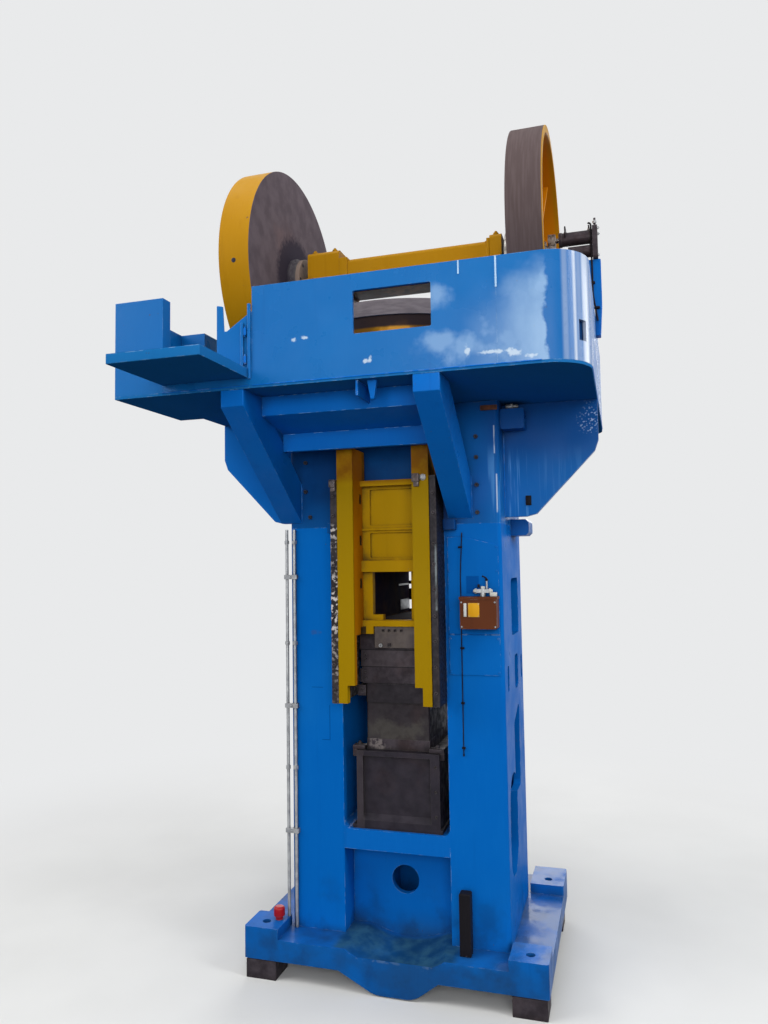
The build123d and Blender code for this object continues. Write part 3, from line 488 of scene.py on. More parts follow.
def ram_marks(s):
    """Painted shade: brown on the top, orange on the inner flanks, near black in the window and slots, dark
    on faces under the ram; oil-browned faces further back.
    """
    fade = s.cloud(6.0, 5.0, 0.25, 0.70, 0.92, 1.0)
    # Painted shade high on the ram, under the guard
    high = s.times(s.ramp(s.z, 3.83, 3.90), s.cloud(9.0, 4.0, 0.3, 0.6, 0.65, 1.0))
    s.stain(OIL_AND_SHADE_ORANGE, high, 0.85)
    # Painted shade on the legs' inner flanks
    for low, high in ((-0.242, -0.2385), (0.2385, 0.242)):
        flank = s.inside(x=(low, high), y=(-0.79, -0.562), soft=0.0008)
        s.stain(srgb(176, 106, 4), flank, 0.85)
    leg_fronts = s.times(s.ramp(s.y, -0.775, -0.785), s.ramp(s.z, 3.95, 3.80))
    s.stain(srgb(148, 118, 1), leg_fronts, 0.75)
    # Painted shade in the slots
    for foot in (2.644, 3.026, 3.370, 3.701):
        for wall in (-0.24, 0.24):
            sides = (wall - 0.03, wall + 0.03)
            slot = s.inside(x=sides, y=(-0.637, -0.588), z=(foot - 0.004, foot + 0.076))
            s.stain(GREASE_AND_SHADE, slot, 0.93)
    # Painted shade on faces under the ram
    under = s.times(s.ramp(s.z, 2.665, 2.655), s.ramp(s.y, -0.735, -0.700))
    s.stain(STEEL_BLACK, under, 0.9)
    behind = s.ramp(s.y, -0.53, -0.48)
    browned = s.times(behind, s.cloud(5.0, 4.0, 0.3, 0.6, 0.4, 0.9))
    s.stain(OIL_AND_SHADE_ORANGE, browned)
    # Painted shade in the window
    window = s.inside(x=(-0.163, 0.163), y=(-0.500, 0.60), z=(2.765, 3.155), soft=0.002)
    s.stain(srgb(6, 5, 30), window, fade)
    s.sheen(0.95, window)
    rub = s.times(s.edges(0.02), s.cloud(12.0, 4.0, 0.42, 0.60))
    s.stain(YELLOW_DEEP, rub, 0.35)


def left_disc_marks(s):
    """The face that drives the flywheel is bare lining, with a painted lit patch above the hub and painted
    shade round the hub.
    """
    face = s.ramp(s.x, -DISC_FACE_FADE[0], -DISC_FACE_FADE[1])
    rub = s.mix(s.cloud(6.0, 4.0, 0.34, 0.66), LINING_DARK, LINING)
    waver = s.cloud(26.0, 2.0, 0.3, 0.7, -0.02, 0.02)
    # Painted light above the hub
    lit = s.blotch((-1.03, -0.30, 6.10), (0.3, 0.55, 0.42))
    rub = s.mix(s.times(lit, 0.5), rub, srgb(112, 94, 96))
    # Painted shade round the hub
    hub_shade = s.ramp(s.math("ADD", s.from_shaft(), waver), 0.50, 0.38, 0.0, 0.9)
    rub = s.mix(hub_shade, rub, srgb(46, 42, 54))
    s.stain(rub, face)
    s.sheen(0.78, face)


def right_disc_marks(s):
    """Driving face bare, a bare grey-brown belt track round the rim, and a deep orange dish."""
    face = s.ramp(s.x, *DISC_FACE_FADE)
    rub = s.mix(s.cloud(9.0, 5.0, 0.34, 0.66), LINING_DARK, LINING)
    s.stain(rub, face)
    lines = s.noise(60.0, 3.0, (1.0, 0.06, 0.06))
    track = s.mix(s.ramp(lines, 0.35, 0.65), srgb(80, 68, 68), srgb(88, 76, 76))
    rim = s.times(s.ramp(s.from_shaft(), 0.9935, 0.9965), s.ramp(s.x, 1.296, 1.292))
    s.stain(track, rim)
    outer_side = s.ramp(s.x, 1.29, 1.24)
    behind_face = s.ramp(s.x, 1.034, 1.036)
    dish = s.times(outer_side, behind_face, s.ramp(s.from_shaft(), 0.99, 0.97))
    s.stain(srgb(192, 116, 8), dish, 0.75)
    s.sheen(0.70, s.most(face, rim))


def flywheel_marks(s):
    """Painted shade darkens the whole wheel and a band on the rim under the lining; one painted lit patch.
    """
    under_lining = s.inside(z=(5.010, 5.105), soft=0.010)
    # Painted shade over the whole wheel
    dust_and_shade = s.cloud(3.0, 4.0, 0.30, 0.60, 0.35, 0.75)
    s.stain(srgb(74, 44, 18), dust_and_shade)
    # Painted light: one lit patch on the rim
    rubbed = s.blotch((0.24, -0.97, 5.0), (0.34, 0.3, 0.10), 6.0)
    s.stain(srgb(214, 150, 60), rubbed, 0.7)
    # Painted shade in a band under the lining
    s.stain(srgb(34, 29, 36), under_lining, 0.94)


def hub_marks(s):
    """Bright turned band at the hub's outer end, the rest darkened as painted shade."""
    band = s.inside(x=(-0.952, -0.910), soft=0.002)
    # Painted shade over the hub
    s.stain(srgb(42, 38, 50), 0.75)
    s.stain(srgb(136, 118, 106), band, 0.85)


def housing_marks(s):
    """Painted shade along the underside, mottled rust brown."""
    under = s.ramp(s.z, 5.640, 5.632)
    stain = s.mix(s.cloud(7.0, 5.0, 0.50, 0.62), srgb(26, 20, 22), srgb(74, 46, 26))
    # Painted shade on the underside
    s.stain(stain, under, 0.96)


def joints(s, levels):
    """Dark gaps between stacked blocks at the given heights."""
    for level in levels:
        gap = s.inside(z=(level - 0.0035, level + 0.0035), soft=0.002)
        s.stain(BLACK, gap, 0.9)


def holder_marks(s):
    """The lip's front is rubbed lighter than the blocks under it, which differ a little."""
    lip = s.inside(y=(-0.62, -0.57), z=(2.545, 2.72), soft=0.01)
    rubbed = s.times(lip, s.cloud(12.0, 5.0, 0.3, 0.6, 0.5, 0.9))
    s.stain(srgb(90, 82, 78), rubbed)
    upper_block = s.inside(z=(2.391, 2.524), soft=0.001)
    s.stain(srgb(84, 76, 80), upper_block, 0.35)
    joints(s, (2.525, 2.390, 2.257))


def die_marks(s):
    """Light scale high on the front, dark towards the joints."""
    scale = s.times(s.blotch((0.0, -0.4, 1.87), (0.80, 0.3, 0.22), 7.0), 0.5)
    s.stain(srgb(80, 77, 71), scale)
    joints(s, (2.106,))


def bolster_marks(s):
    """A paler strip up the left edge of the front."""
    strip = s.inside(x=(-0.335, -0.268), y=(-0.53, -0.50), soft=0.004)
    s.stain(srgb(84, 76, 80), strip, 0.25)


def clamp_plate_marks(s):
    """A pale scuffed patch on the left."""
    place = s.blotch((-0.18, -0.45, 1.772), (0.22, 0.3, 0.09), 12.0)
    patch = s.times(place, s.cloud(34.0, 4.0, 0.42, 0.58))
    s.stain(srgb(124, 116, 114), patch, 0.8)


def left_guide_marks(s):
    """Caked grease below the parting line, flaking white half way down and thin at the foot."""
    flakes = s.cloud(29.0, 4.0, 0.51, 0.60)
    lumps = s.mix(flakes, srgb(30, 27, 30), srgb(196, 190, 186))
    caked = s.times(s.ramp(s.z, 3.58, 3.48), s.ramp(s.z, 2.26, 2.42, 0.12, 0.42))
    for heights, soft, amount in (((2.68, 3.14), 0.06, 0.95), ((3.42, 3.52), 0.04, 0.85)):
        caked = s.most(caked, s.times(s.inside(z=heights, soft=soft), amount))
    s.stain(lumps, caked)


def right_guide_marks(s):
    """Mottled grease, painted shade down the ram's side and the outer side, and a pale streak of wet grease
    painted as its highlight.
    """
    mottled = s.cloud(24.0, 5.0, 0.42, 0.62, stretch=(1.0, 1.0, 0.7))
    s.stain(srgb(24, 21, 25), mottled, 0.6)
    # Painted shade on both sides
    outer_side = s.ramp(s.x, 0.427, 0.429)
    ram_side = s.ramp(s.x, 0.386, 0.376)
    s.stain(srgb(16, 13, 18), s.most(outer_side, ram_side), 0.9)
    # Painted highlight on the wet grease
    streak = s.inside(x=(0.411, 0.424), y=(-0.81, -0.78), z=(2.86, 3.36), soft=0.005)
    streak = s.times(streak, s.cloud(9.0, 4.0, 0.36, 0.58, stretch=(1.0, 1.0, 0.4)))
    s.stain(srgb(128, 138, 142), streak, 0.7)


def die_steel(name, light, dark, rust, overlay):
    """Dark forged blocks of the die set, their edges hardly rubbed."""
    return metal(name, light, dark, rust, 0.5, metallic=0.3, worn=0.2, overlay=overlay)


def greasy_bar(name, overlay):
    """A guide bar under old grease."""
    light, dark = srgb(52, 48, 51), srgb(31, 28, 33)
    return metal(name, light, dark, 0.06, 0.50, 18.0, 0.3, overlay=overlay)


def drive_paint(name, corner_dirt_and_shade, rough, overlay=None):
    """The ochre paint of the discs, the flywheel and the housing between them."""
    return paint(name, DRIVE_YELLOWS, STEEL_DARK, corner_dirt_and_shade, rough, overlay=overlay)


BROWNS = (srgb(94, 50, 29), srgb(110, 62, 36), srgb(64, 35, 21))
REDS = (srgb(160, 10, 20), srgb(174, 20, 28), srgb(104, 8, 14))
BLACKS = (BLACK, srgb(44, 42, 46), srgb(14, 13, 16))
FORGED = srgb(66, 59, 65)

# One material for each slot of the CAD record
MATERIALS = {
    "blue_paint": paint("blue_paint", BLUES),
    "yellow_paint": drive_paint("yellow_paint", 0.75, 0.34),
    "brown_paint": paint("brown_paint", BROWNS, STEEL, 0.6, 0.40),
    "red_paint": paint("red_paint", REDS, STEEL, 0.4, 0.26, 0.3),
    "black_paint": paint("black_paint", BLACKS, STEEL_DARK, 0.5, 0.42),
    "dark_steel": metal("dark_steel", FORGED, STEEL_BLACK, 0.12, 0.55, metallic=0.3, worn=0.2),
    "turned_steel": metal("turned_steel", STEEL, srgb(112, 106, 100), 0.10, 0.30, 14.0, 0.9),
    "greasy_steel": metal("greasy_steel", srgb(104, 94, 92), srgb(56, 50, 52), 0.20, 0.44, 18.0, 0.35),
    "bronze": metal("bronze", srgb(150, 112, 58), srgb(98, 70, 34), 0.05, 0.34, 10.0, 0.9),
    "galvanised": metal("galvanised", srgb(176, 178, 180), srgb(142, 144, 148), 0.04, 0.40, 12.0, 0.5),
    "friction_lining": lining("friction_lining", srgb(122, 114, 118), srgb(104, 97, 101), (1.0, 1.0, 6.0)),
}

# Materials of single nodes, in place of their slot's
GUARD_PAINT = paint("guard_paint", GUARD_BLUES, rough=0.22, specular=0.24, overlay=guard_marks)
SIDE_PAINT = paint("guard_side_paint", GUARD_BLUES, specular=0.12)
HEAD_PAINT = paint("crosshead_paint", SHADED_HEAD_BLUES, specular=0.05, overlay=crosshead_marks)
# Bright worn edges here are also a painted highlight on the column's corners
COLUMN_PAINT = paint("column_paint", BLUES, specular=0.01, wear_and_highlight=0.5, overlay=column_marks)
MATT_BLUE = paint("matt_blue_paint", DUSTY_BLUES, rough=0.5, specular=0.0, wear_and_highlight=0.6)
NODE_MATERIALS = {
    "base": paint("base_paint", BLUES, overlay=base_marks),
    "left_upright": paint("left_column_paint", BLUES, specular=0.0, overlay=left_column_marks),
    "right_upright": COLUMN_PAINT,
    "upright_cover": COLUMN_PAINT,
    "crosshead": HEAD_PAINT,
    "right_wing": HEAD_PAINT,
    # Pale worn edges here are also a painted highlight along the beam's edges
    "front_beam": paint("beam_paint", BLUES, srgb(150, 196, 234), rough=0.4, specular=0.05, wear_and_highlight=0.85),
    "guard_front_wall": GUARD_PAINT,
    "guard_right_wall": GUARD_PAINT,
    "guard_left_wall": SIDE_PAINT,
    "guard_rear_wall": SIDE_PAINT,
    "access_plate": SIDE_PAINT,
    "access_hinge": SIDE_PAINT,
    "guard_floor": MATT_BLUE,
    "access_step": MATT_BLUE,
    "ram": paint(
        "ram_paint", YELLOWS, YELLOW_DEEP, 0.9, 0.45, specular=0.06, wear_and_highlight=0.4, overlay=ram_marks
    ),
    "left_disc": drive_paint("left_disc_paint", 0.6, 0.36, left_disc_marks),
    "right_disc": drive_paint("right_disc_paint", 0.6, 0.36, right_disc_marks),
    "flywheel": drive_paint("flywheel_paint", 0.7, 0.40, flywheel_marks),
    "shaft_housing": drive_paint("housing_paint", 0.75, 0.34, housing_marks),
    "left_hub": metal(
        "left_hub_steel", STEEL, STEEL_DARK, 0.05, 0.5, metallic=0.3, worn=0.1, overlay=hub_marks
    ),
    "guide_front_left": greasy_bar("left_guide_steel", left_guide_marks),
    "guide_front_right": greasy_bar("right_guide_steel", right_guide_marks),
    "upper_die_holder": die_steel("holder_steel", FORGED, STEEL_BLACK, 0.10, holder_marks),
    "upper_die": die_steel("upper_die_steel", srgb(44, 39, 45), srgb(29, 25, 31), 0.06, die_marks),
    "lower_die": die_steel("lower_die_steel", srgb(47, 42, 46), STEEL_BLACK, 0.08, die_marks),
    "die_clamp_plate": die_steel("clamp_plate_steel", FORGED, STEEL_BLACK, 0.10, clamp_plate_marks),
    "bolster": metal(
        "bolster_steel", srgb(40, 35, 44), srgb(26, 22, 31), 0.05, 0.55, 6.0, 0.2,
        worn=0.1, overlay=bolster_marks,
    ),
}

# Materials of fittings that differ from their slot's
PLATE_TONES = (srgb(222, 160, 24), srgb(232, 178, 60), srgb(196, 132, 16))
ENAMEL_TONES = (srgb(214, 214, 208), srgb(226, 226, 222), srgb(180, 180, 172))
# Pale seam colour, a painted highlight
SEAM_HIGHLIGHT_TONES = (PALE_BLUE_HIGHLIGHT, srgb(190, 214, 236), srgb(110, 164, 214))
# Blues of painted shade
SHADE_TONES = (srgb(6, 56, 110), srgb(12, 66, 124), srgb(4, 40, 84))
FRESH_BLUE = paint("fitting_blue", BLUES, corner_dirt_and_shade=0.8, rough=0.34)
NAME_PLATE = paint("plate_yellow", PLATE_TONES, STEEL, 0.4, 0.4)
GAUGE_WHITE = paint("gauge_white", ENAMEL_TONES, STEEL, 0.4, 0.3)
SEAM_HIGHLIGHT_PAINT = paint("seam_highlight_blue", SEAM_HIGHLIGHT_TONES, corner_dirt_and_shade=0.3, rough=0.3)
SHADED_BLUE = paint("shaded_blue", SHADE_TONES, corner_dirt_and_shade=0.6, rough=0.5)
RUSTY_BAR = metal("rusty_bar", srgb(112, 66, 46), srgb(60, 38, 32), 0.6, 0.7, 20.0, 0.2)
SCREW_BLACK = metal("oily_screw", srgb(40, 44, 66), srgb(20, 22, 38), 0.05, 0.5, 18.0, 0.2, worn=0.15)

PAINTED_EDGE = 0.006
STEEL_EDGE = 0.003
SHEET_EDGE = 0.0008
SHARP_ANGLE = math.radians(32)
WELD_DISTANCE = 0.00002


def soften(obj, width):
    """Round the sharp edges of a mesh by a small radius and keep its flats flat."""
    for attribute in ("custom_normal", "sharp_face", "sharp_edge"):
        found = obj.data.attributes.get(attribute)
        if found:
            obj.data.attributes.remove(found)
    obj.modifiers.new("weld", "WELD").merge_threshold = WELD_DISTANCE
    bevel = obj.modifiers.new("edges", "BEVEL")
    bevel.width = width
    bevel.segments = 2
    bevel.limit_method = "ANGLE"
    bevel.angle_limit = SHARP_ANGLE
    obj.modifiers.new("normals", "WEIGHTED_NORMAL").keep_sharp = True


def edge_width(node_name, slot_name):
    """How far a node's edges are rounded: guard sheets least, painted castings most."""
    if node_name.startswith("guard_") and node_name.endswith("_wall"):
        return SHEET_EDGE
    return PAINTED_EDGE if slot_name.endswith("paint") else STEEL_EDGE


slots = {part["node"]: part["material_slot"] for part in frame["record"]["subparts"]}
for node_name, node in NODES.items():
    slot_name = slots[node_name]
    node.data.materials.clear()
    node.data.materials.append(NODE_MATERIALS.get(node_name, MATERIALS[slot_name]))
    soften(node, edge_width(node_name, slot_name))

X = Vector((1, 0, 0))
Y = Vector((0, 1, 0))
Z = Vector((0, 0, 1))


def at(x, y, z):
    """A point given in mm, its height from the base casting's underside."""
    return Vector((x, y, z + PAD)) / 1000


def placed(name, data):
    """A new object in the scene that shows the given data."""
    obj = bpy.data.objects.new(name, data)
    scene.collection.objects.link(obj)
    return obj


@contextmanager
def piece(name, slot_name, body="frame", material=None):
    """A named piece that rides on a body, made of what its block adds to the bmesh."""
    bm = bmesh.new()
    yield bm
    bmesh.ops.recalc_face_normals(bm, faces=bm.faces)
    mesh = bpy.data.meshes.new(name)
    bm.to_mesh(mesh)
    bm.free()
    mesh.shade_smooth()
    mesh.set_sharp_from_angle(angle=SHARP_ANGLE)
    mesh.materials.append(material or MATERIALS[slot_name])
    obj = placed(name, mesh)
    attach(obj, body)


def skin(bm, rings):
    """Close a solid over rings of as many vertices each, with a face at either end."""
    sides = len(rings[0])
    for low, high in zip(rings, rings[1:]):
        for i in range(sides):
            j = (i + 1) % sides
            bm.faces.new((low[i], low[j], high[j], high[i]))
    bm.faces.new(rings[0][::-1])
    bm.faces.new(rings[-1])


def lathe(bm, origin, axis, profile, sides=24, spin=0.0):
    """A closed turned or many-sided solid of (radius, height) pairs in mm along axis."""
    turn = Z.rotation_difference(axis).to_matrix()
    angles = [2 * math.pi * i / sides + spin for i in range(sides)]
    rings = []
    for radius, height in profile:
        spots = [Vector((radius * math.cos(a), radius * math.sin(a), height)) / 1000 for a in angles]
        rings.append([bm.verts.new(origin + turn @ spot) for spot in spots])
    skin(bm, rings)


def scaled(size, profile):
    """A profile given as shares of a thread's size, in mm."""
    return [(size * radius, size * height) for radius, height in profile]


HEX_SPIN = 0.3


def hex_bolt(bm, origin, axis, size):
    """Hex head on a washer, for a thread of the given size in mm."""
    washer = [(size * 1.15, -1), *scaled(size, ((1.15, 0.14), (1.06, 0.19)))]
    lathe(bm, origin, axis, washer, 28)
    lathe(bm, origin, axis, scaled(size, ((0.94, 0), (0.94, 0.72), (0.80, 0.82))), 6, HEX_SPIN)


def cap_screw(bm, origin, axis, size):
    """Round socket head, for a thread of the given size in mm."""
    head = scaled(size, ((0.75, 0.80), (0.67, 0.90), (0.46, 0.90), (0.42, 0.40)))
    lathe(bm, origin, axis, [(size * 0.75, -1), *head], 20)


def stud(bm, origin, axis, size):
    """Stud end with a hex nut and washer."""
    hex_bolt(bm, origin, axis, size)
    lathe(bm, origin, axis, scaled(size, ((0.5, 0), (0.5, 1.22), (0.42, 1.32))), 18)


def around(radius, start=0.0, count=8):
    """Points evenly round a circle, the first at start degrees."""
    angles = [math.radians(360 / count * i + start) for i in range(count)]
    return [(radius * math.cos(a), radius * math.sin(a)) for a in angles]


def plate(bm, low, high, bevel):
    """A plate or bar between two corners in mm, its edges eased."""
    verts = bmesh.ops.create_cube(bm, size=1.0)["verts"]
    low, high = at(*low), at(*high)
    for vert in verts:
        vert.co = Vector(low[i] + (vert.co[i] + 0.5) * (high[i] - low[i]) for i in range(3))
    rims = list(dict.fromkeys(edge for vert in verts for edge in vert.link_edges))
    bmesh.ops.bevel(bm, geom=rims, offset=bevel / 1000, segments=2, affect="EDGES", profile=0.5)


def mirrored(side, inner, outer):
    """The rising ends of a stretch from inner to outer on one side of the middle."""
    return sorted((side * inner, side * outer))


def rounded(points, radius):
    """Points of a path with its corners turned into arcs of about the given radius in mm."""
    steps = 6
    out = [points[0]]
    for before, corner, after in zip(points, points[1:], points[2:]):
        back = (before - corner).normalized() * radius / 1000
        ahead = (after - corner).normalized() * radius / 1000
        for i in range(steps + 1):
            t = i / steps
            out.append(corner + back * (1 - t) ** 2 + ahead * t**2)
    return out + [points[-1]]


def tube(bm, points, radii, sides=12):
    """A closed round bar along a path; radii in mm is one number or one for each point."""
    if isinstance(radii, (int, float)):
        radii = [radii] * len(points)
    side = None
    rings = []
    for i, point in enumerate(points):
        along = (points[min(i + 1, len(points) - 1)] - points[max(i - 1, 0)]).normalized()
        side = along.orthogonal() if side is None else side - along * side.dot(along)
        side.normalize()
        other = along.cross(side)
        ring = []
        for k in range(sides):
            a = 2 * math.pi * k / sides
            offset = (side * math.cos(a) + other * math.sin(a)) * radii[i] / 1000
            ring.append(bm.verts.new(point + offset))
        rings.append(ring)
    skin(bm, rings)


dice = random.Random(11)
RIPPLE = 9.0


def weld(bm, start, end, size):
    """A rippled weld bead along a straight run between two points in mm."""
    start, end = at(*start), at(*end)
    count = max(3, round((end - start).length * 1000 / RIPPLE))
    points = [start.lerp(end, i / count) for i in range(count + 1)]
    radii = [size * (0.86 + 0.16 * (i % 2) + 0.16 * dice.random()) for i in range(count + 1)]
    tube(bm, points, radii, 7)


# Crosshead: bolts beside the guides, front and rear
REAR_ROWS = (4050, 3887, 3670, 3455)
FRONT_LEFT_SCREWS = ((-735, 3915), (-735, 3672), (-695, 3460))
with piece("crosshead_screws", "dark_steel", material=SCREW_BLACK) as bm:
    for x, z in (*product((700,), REAR_ROWS), *FRONT_LEFT_SCREWS):
        cap_screw(bm, at(x, COLUMN_FRONT, z), -Y, 22)
    for x, z in product((-700, 700), REAR_ROWS):
        cap_screw(bm, at(x, COLUMN_BACK, z), Y, 22)

# Guide bars: screws, and stops on the left bar and the ram's right leg
for tag, side in (("left", -1), ("right", 1)):
    with piece(f"guide_screws_{tag}", "dark_steel") as bm:
        for z in (2095, 2290, 2480, 2670, 2870, 3060, 3212, 3450, 3600):
            cap_screw(bm, at(side * 404, LEG_FRONT, z), -Y, 17)
        for z in (2150, 2600, 3050, 3500):
            hex_bolt(bm, at(side * 401, GUIDE_BACK, z), Y, 15)
STOP_FRONT = LEG_FRONT - 38
with piece("guide_stop_left", "greasy_steel") as bm:
    plate(bm, (-428, STOP_FRONT, 3672), (-375, LEG_FRONT + 2, 3733), 8)
    plate(bm, (-420, -822, 3640), (-380, LEG_FRONT + 1, 3690), 6)
    hex_bolt(bm, at(-402, STOP_FRONT, 3704), -Y, 15)
with piece("ram_stop_right", "greasy_steel", "ram") as bm:
    plate(bm, (247, -836, 3686), (306, LEG_FRONT + 1, 3752), 8)
    plate(bm, (258, -822, 3652), (300, LEG_FRONT + 1, 3700), 6)
with piece("ram_stop_stud", "galvanised", "ram") as bm:
    stud(bm, at(328, LEG_FRONT, 3722), -Y, 22)
    plate(bm, (304, -812, 3704), (352, LEG_FRONT + 1, 3742), 3)

# Ram and nut: flange bolts, clips, and bright strips in the window as painted reflections
with piece("retainer_bolts", "dark_steel", "ram") as bm:
    for x, y in around(262, 22.5):
        hex_bolt(bm, at(x, y, 3308), Z, 20)
with piece("nut_bolts", "dark_steel") as bm:
    for x, y in around(222):
        hex_bolt(bm, at(x, y, 3710), -Z, 16)
with piece("window_clips", "black_paint", "ram") as bm:
    for side in (-1, 1):
        left, right = mirrored(side, 112, 226)
        for low, high in ((2600, 2644), (2728, 2832), (2874, 2905), (3026, 3060)):
            plate(bm, (left, 559, low), (right, 572, high), 3)
            hex_bolt(bm, at(side * 200, 572, (low + high) / 2), Y, 9)
# Bright strips standing in for reflections in the window
with piece("window_bright_strips", "galvanised", "ram") as bm:
    plate(bm, (-161, 250, 2650), (-153, 530, 2742), 3)
    plate(bm, (-161, 190, 2868), (-152, 520, 2884), 3)

# Dies and bolster: clamps and screws
with piece("die_clamps", "dark_steel", "ram") as bm:
    for side in (-1, 1):
        left, right = mirrored(side, 251, 322)
        plate(bm, (left, UPPER_DIE_FRONT + 2, 2006), (right, -400, 2092), 6)
        hex_bolt(bm, at(side * 290, UPPER_DIE_FRONT + 2, 2050), -Y, 20)
        left, right = mirrored(side, 279, 300)
        plate(bm, (left, -492, 2112), (right, -300, 2222), 4)
with piece("holder_screw_bright", "galvanised", "ram") as bm:
    cap_screw(bm, at(-91, HOLDER_FRONT, 2421), -Y, 20)
with piece("holder_screws", "dark_steel", "ram") as bm:
    cap_screw(bm, at(-22, HOLDER_FRONT, 2424), -Y, 20)
    for x, z in product((-250, 250), (2150, 2200, 2300, 2340)):
        cap_screw(bm, at(x, UPPER_DIE_FRONT, z), -Y, 16)
CLAMP_TOP = BOLSTER_TOP + 37
with piece("bolster_clamps", "dark_steel") as bm:
    for left, right, lip in ((-368, -266, (-368, -331)), (266, 386, (351, 386))):
        plate(bm, (left, -505, BOLSTER_TOP + 2), (right, -425, CLAMP_TOP), 6)
        plate(bm, (lip[0], -500, BOLSTER_TOP - 53), (lip[1], -430, BOLSTER_TOP + 5), 5)
        stud(bm, at((left + right) / 2, -465, CLAMP_TOP), Z, 20)
with piece("bolster_screws", "dark_steel") as bm:
    for z in (1095, 1285, 1475):
        cap_screw(bm, at(318, -507, z), -Y, 13)

# Right upright: oil box fittings, its valve, and a thin drip line
PLATE_FACE = BOX_FACE - 5
with piece("oil_box_plate", "yellow_paint", material=NAME_PLATE) as bm:
    plate(bm, (634, PLATE_FACE, 2654), (720, BOX_FACE + 1, 2760), 1.5)
with piece("oil_box_screws", "galvanised") as bm:
    for x, z in product((641, 713), (2661, 2753)):
        lathe(bm, at(x, PLATE_FACE, z), -Y, [(3.4, -1), (3.4, 1.2), (2.2, 2.0)], 14)
    for x, z in product((582, 838), (2580, 2765)):
        lathe(bm, at(x, BOX_FACE, z), -Y, [(7, -1), (7, 3), (4.5, 5)], 16)
with piece("oil_gauge", "galvanised", material=GAUGE_WHITE) as bm:
    plate(bm, (600, BOX_FACE - 8, 2656), (622, BOX_FACE + 1, 2758), 3)
VALVE_Y = -618
UNION = [(20, -2), (20, 12), (17, 14), (12, 14), (12, 22), (9, 24)]
with piece("valve_unions", "galvanised", material=GAUGE_WHITE) as bm:
    for x, axis in ((690, -X), (790, X)):
        lathe(bm, at(x, VALVE_Y, 2848), axis, UNION, 6, 0.2)
    lathe(bm, at(740, VALVE_Y, 2870), Z, [(18, -2), (18, 10), (14, 14)], 6)
    plate(bm, (796, VALVE_Y - 24, 2807), (846, VALVE_Y + 18, 2838), 3)
with piece("valve_lever", "black_paint") as bm:
    handle = [at(770, VALVE_Y, 2926), at(770, VALVE_Y, 2944), at(742, VALVE_Y - 22, 2962)]
    tube(bm, rounded(handle, 8), 6.0)
    lathe(bm, at(770, VALVE_Y, 2930), Z, [(11, -4), (12, 4), (8, 9)], 18)
    plate(bm, (700, VALVE_Y - 16, 2874), (716, VALVE_Y + 16, 2900), 3)
DRIP_Y = COVER_FACE - 8
with piece("drip_line", "black_paint") as bm:
    end = at(555, DRIP_Y, 1600)
    tube(bm, rounded([at(575, DRIP_Y, 3300), at(557, DRIP_Y, 2980), end], 40), 4.0, 10)
    for z in (3180, 2400):
        plate(bm, (545, DRIP_Y - 7, z), (576, COVER_FACE + 1, z + 14), 2)
    for z in (1980, 1640):
        plate(bm, (543, DRIP_Y - 5, z), (568, COLUMN_FRONT + 1, z + 14), 2)
    lathe(bm, end, -Z, [(6, -4), (7, 8), (4, 16)], 14)
COVER_SCREWS = ((2225, (468, 842)), (2480, (468, 842)), (2700, (468,)), (3000, (468, 842)), (3185, (842,)))
with piece("cover_screws", "blue_paint", material=FRESH_BLUE) as bm:
    for z, row in COVER_SCREWS:
        for x in row:
            lathe(bm, at(x, COVER_FACE, z), -Y, [(9, -1), (9, 3), (6, 5)], 18)

# Left upright: unions and clip screws on the oil pipes
with piece("pipe_unions", "galvanised") as bm:
    for x, z in product((-905, -838), (1405, 2410, 3240)):
        lathe(bm, at(x, -566, z), Z, [(17, 0), (21, 3), (21, 27), (17, 30)], 6)
    for z in (918, 1918, 2968):
        lathe(bm, at(-871, -583, z), -Y, [(10, -1), (10, 5), (6, 7)], 6)

# Right wing: plug on the boss, a rusty key beside it, a blanked slot
BOSS_PLUG = [(20, 0), (24, 6), (24, 40), (17, 42), (17, 88), (12, 96)]
with piece("boss_plug", "galvanised") as bm:
    lathe(bm, at(920, -400, 4294), X, BOSS_PLUG, 18)
    lathe(bm, at(958, -400, 4294), X, [(27, 0), (27, 16)], 6)
with piece("rusty_key", "dark_steel", material=RUSTY_BAR) as bm:
    plate(bm, (742, COLUMN_FRONT - 24, 4250), (874, COLUMN_FRONT + 1, 4288), 5)
with piece("wing_blank", "black_paint") as bm:
    plate(bm, (1046, WING_FRONT - 7, 3512), (1092, WING_FRONT + 1, 3590), 4)

# Shaft housing, bearing blocks and side frames
with piece("housing_bolts", "yellow_paint") as bm:
    for y, drop in product((-132, 132), (-132, 0, 132)):
        hex_bolt(bm, at(-485, y, SHAFT_Z + drop), X, 18)
        hex_bolt(bm, at(758, y, SHAFT_Z + drop), -X, 18)
LEFT_BLOCK_TOP, RIGHT_BLOCK_TOP = (span(f"{tag}_side_frame", "z")[1] - PAD for tag in ("left", "right"))
with piece("block_studs", "yellow_paint") as bm:
    for y in (-112, 112):
        for x in (-805, -615):
            stud(bm, at(x, y, LEFT_BLOCK_TOP), Z, 24)
        stud(bm, at(834, y, RIGHT_BLOCK_TOP), Z, 24)
with piece("side_frame_bolts", "dark_steel") as bm:
    for y, x in product(range(-735, 736, 210), (-881, 804)):
        hex_bolt(bm, at(x, y, FLOOR_TOP + 30), Z, 14)

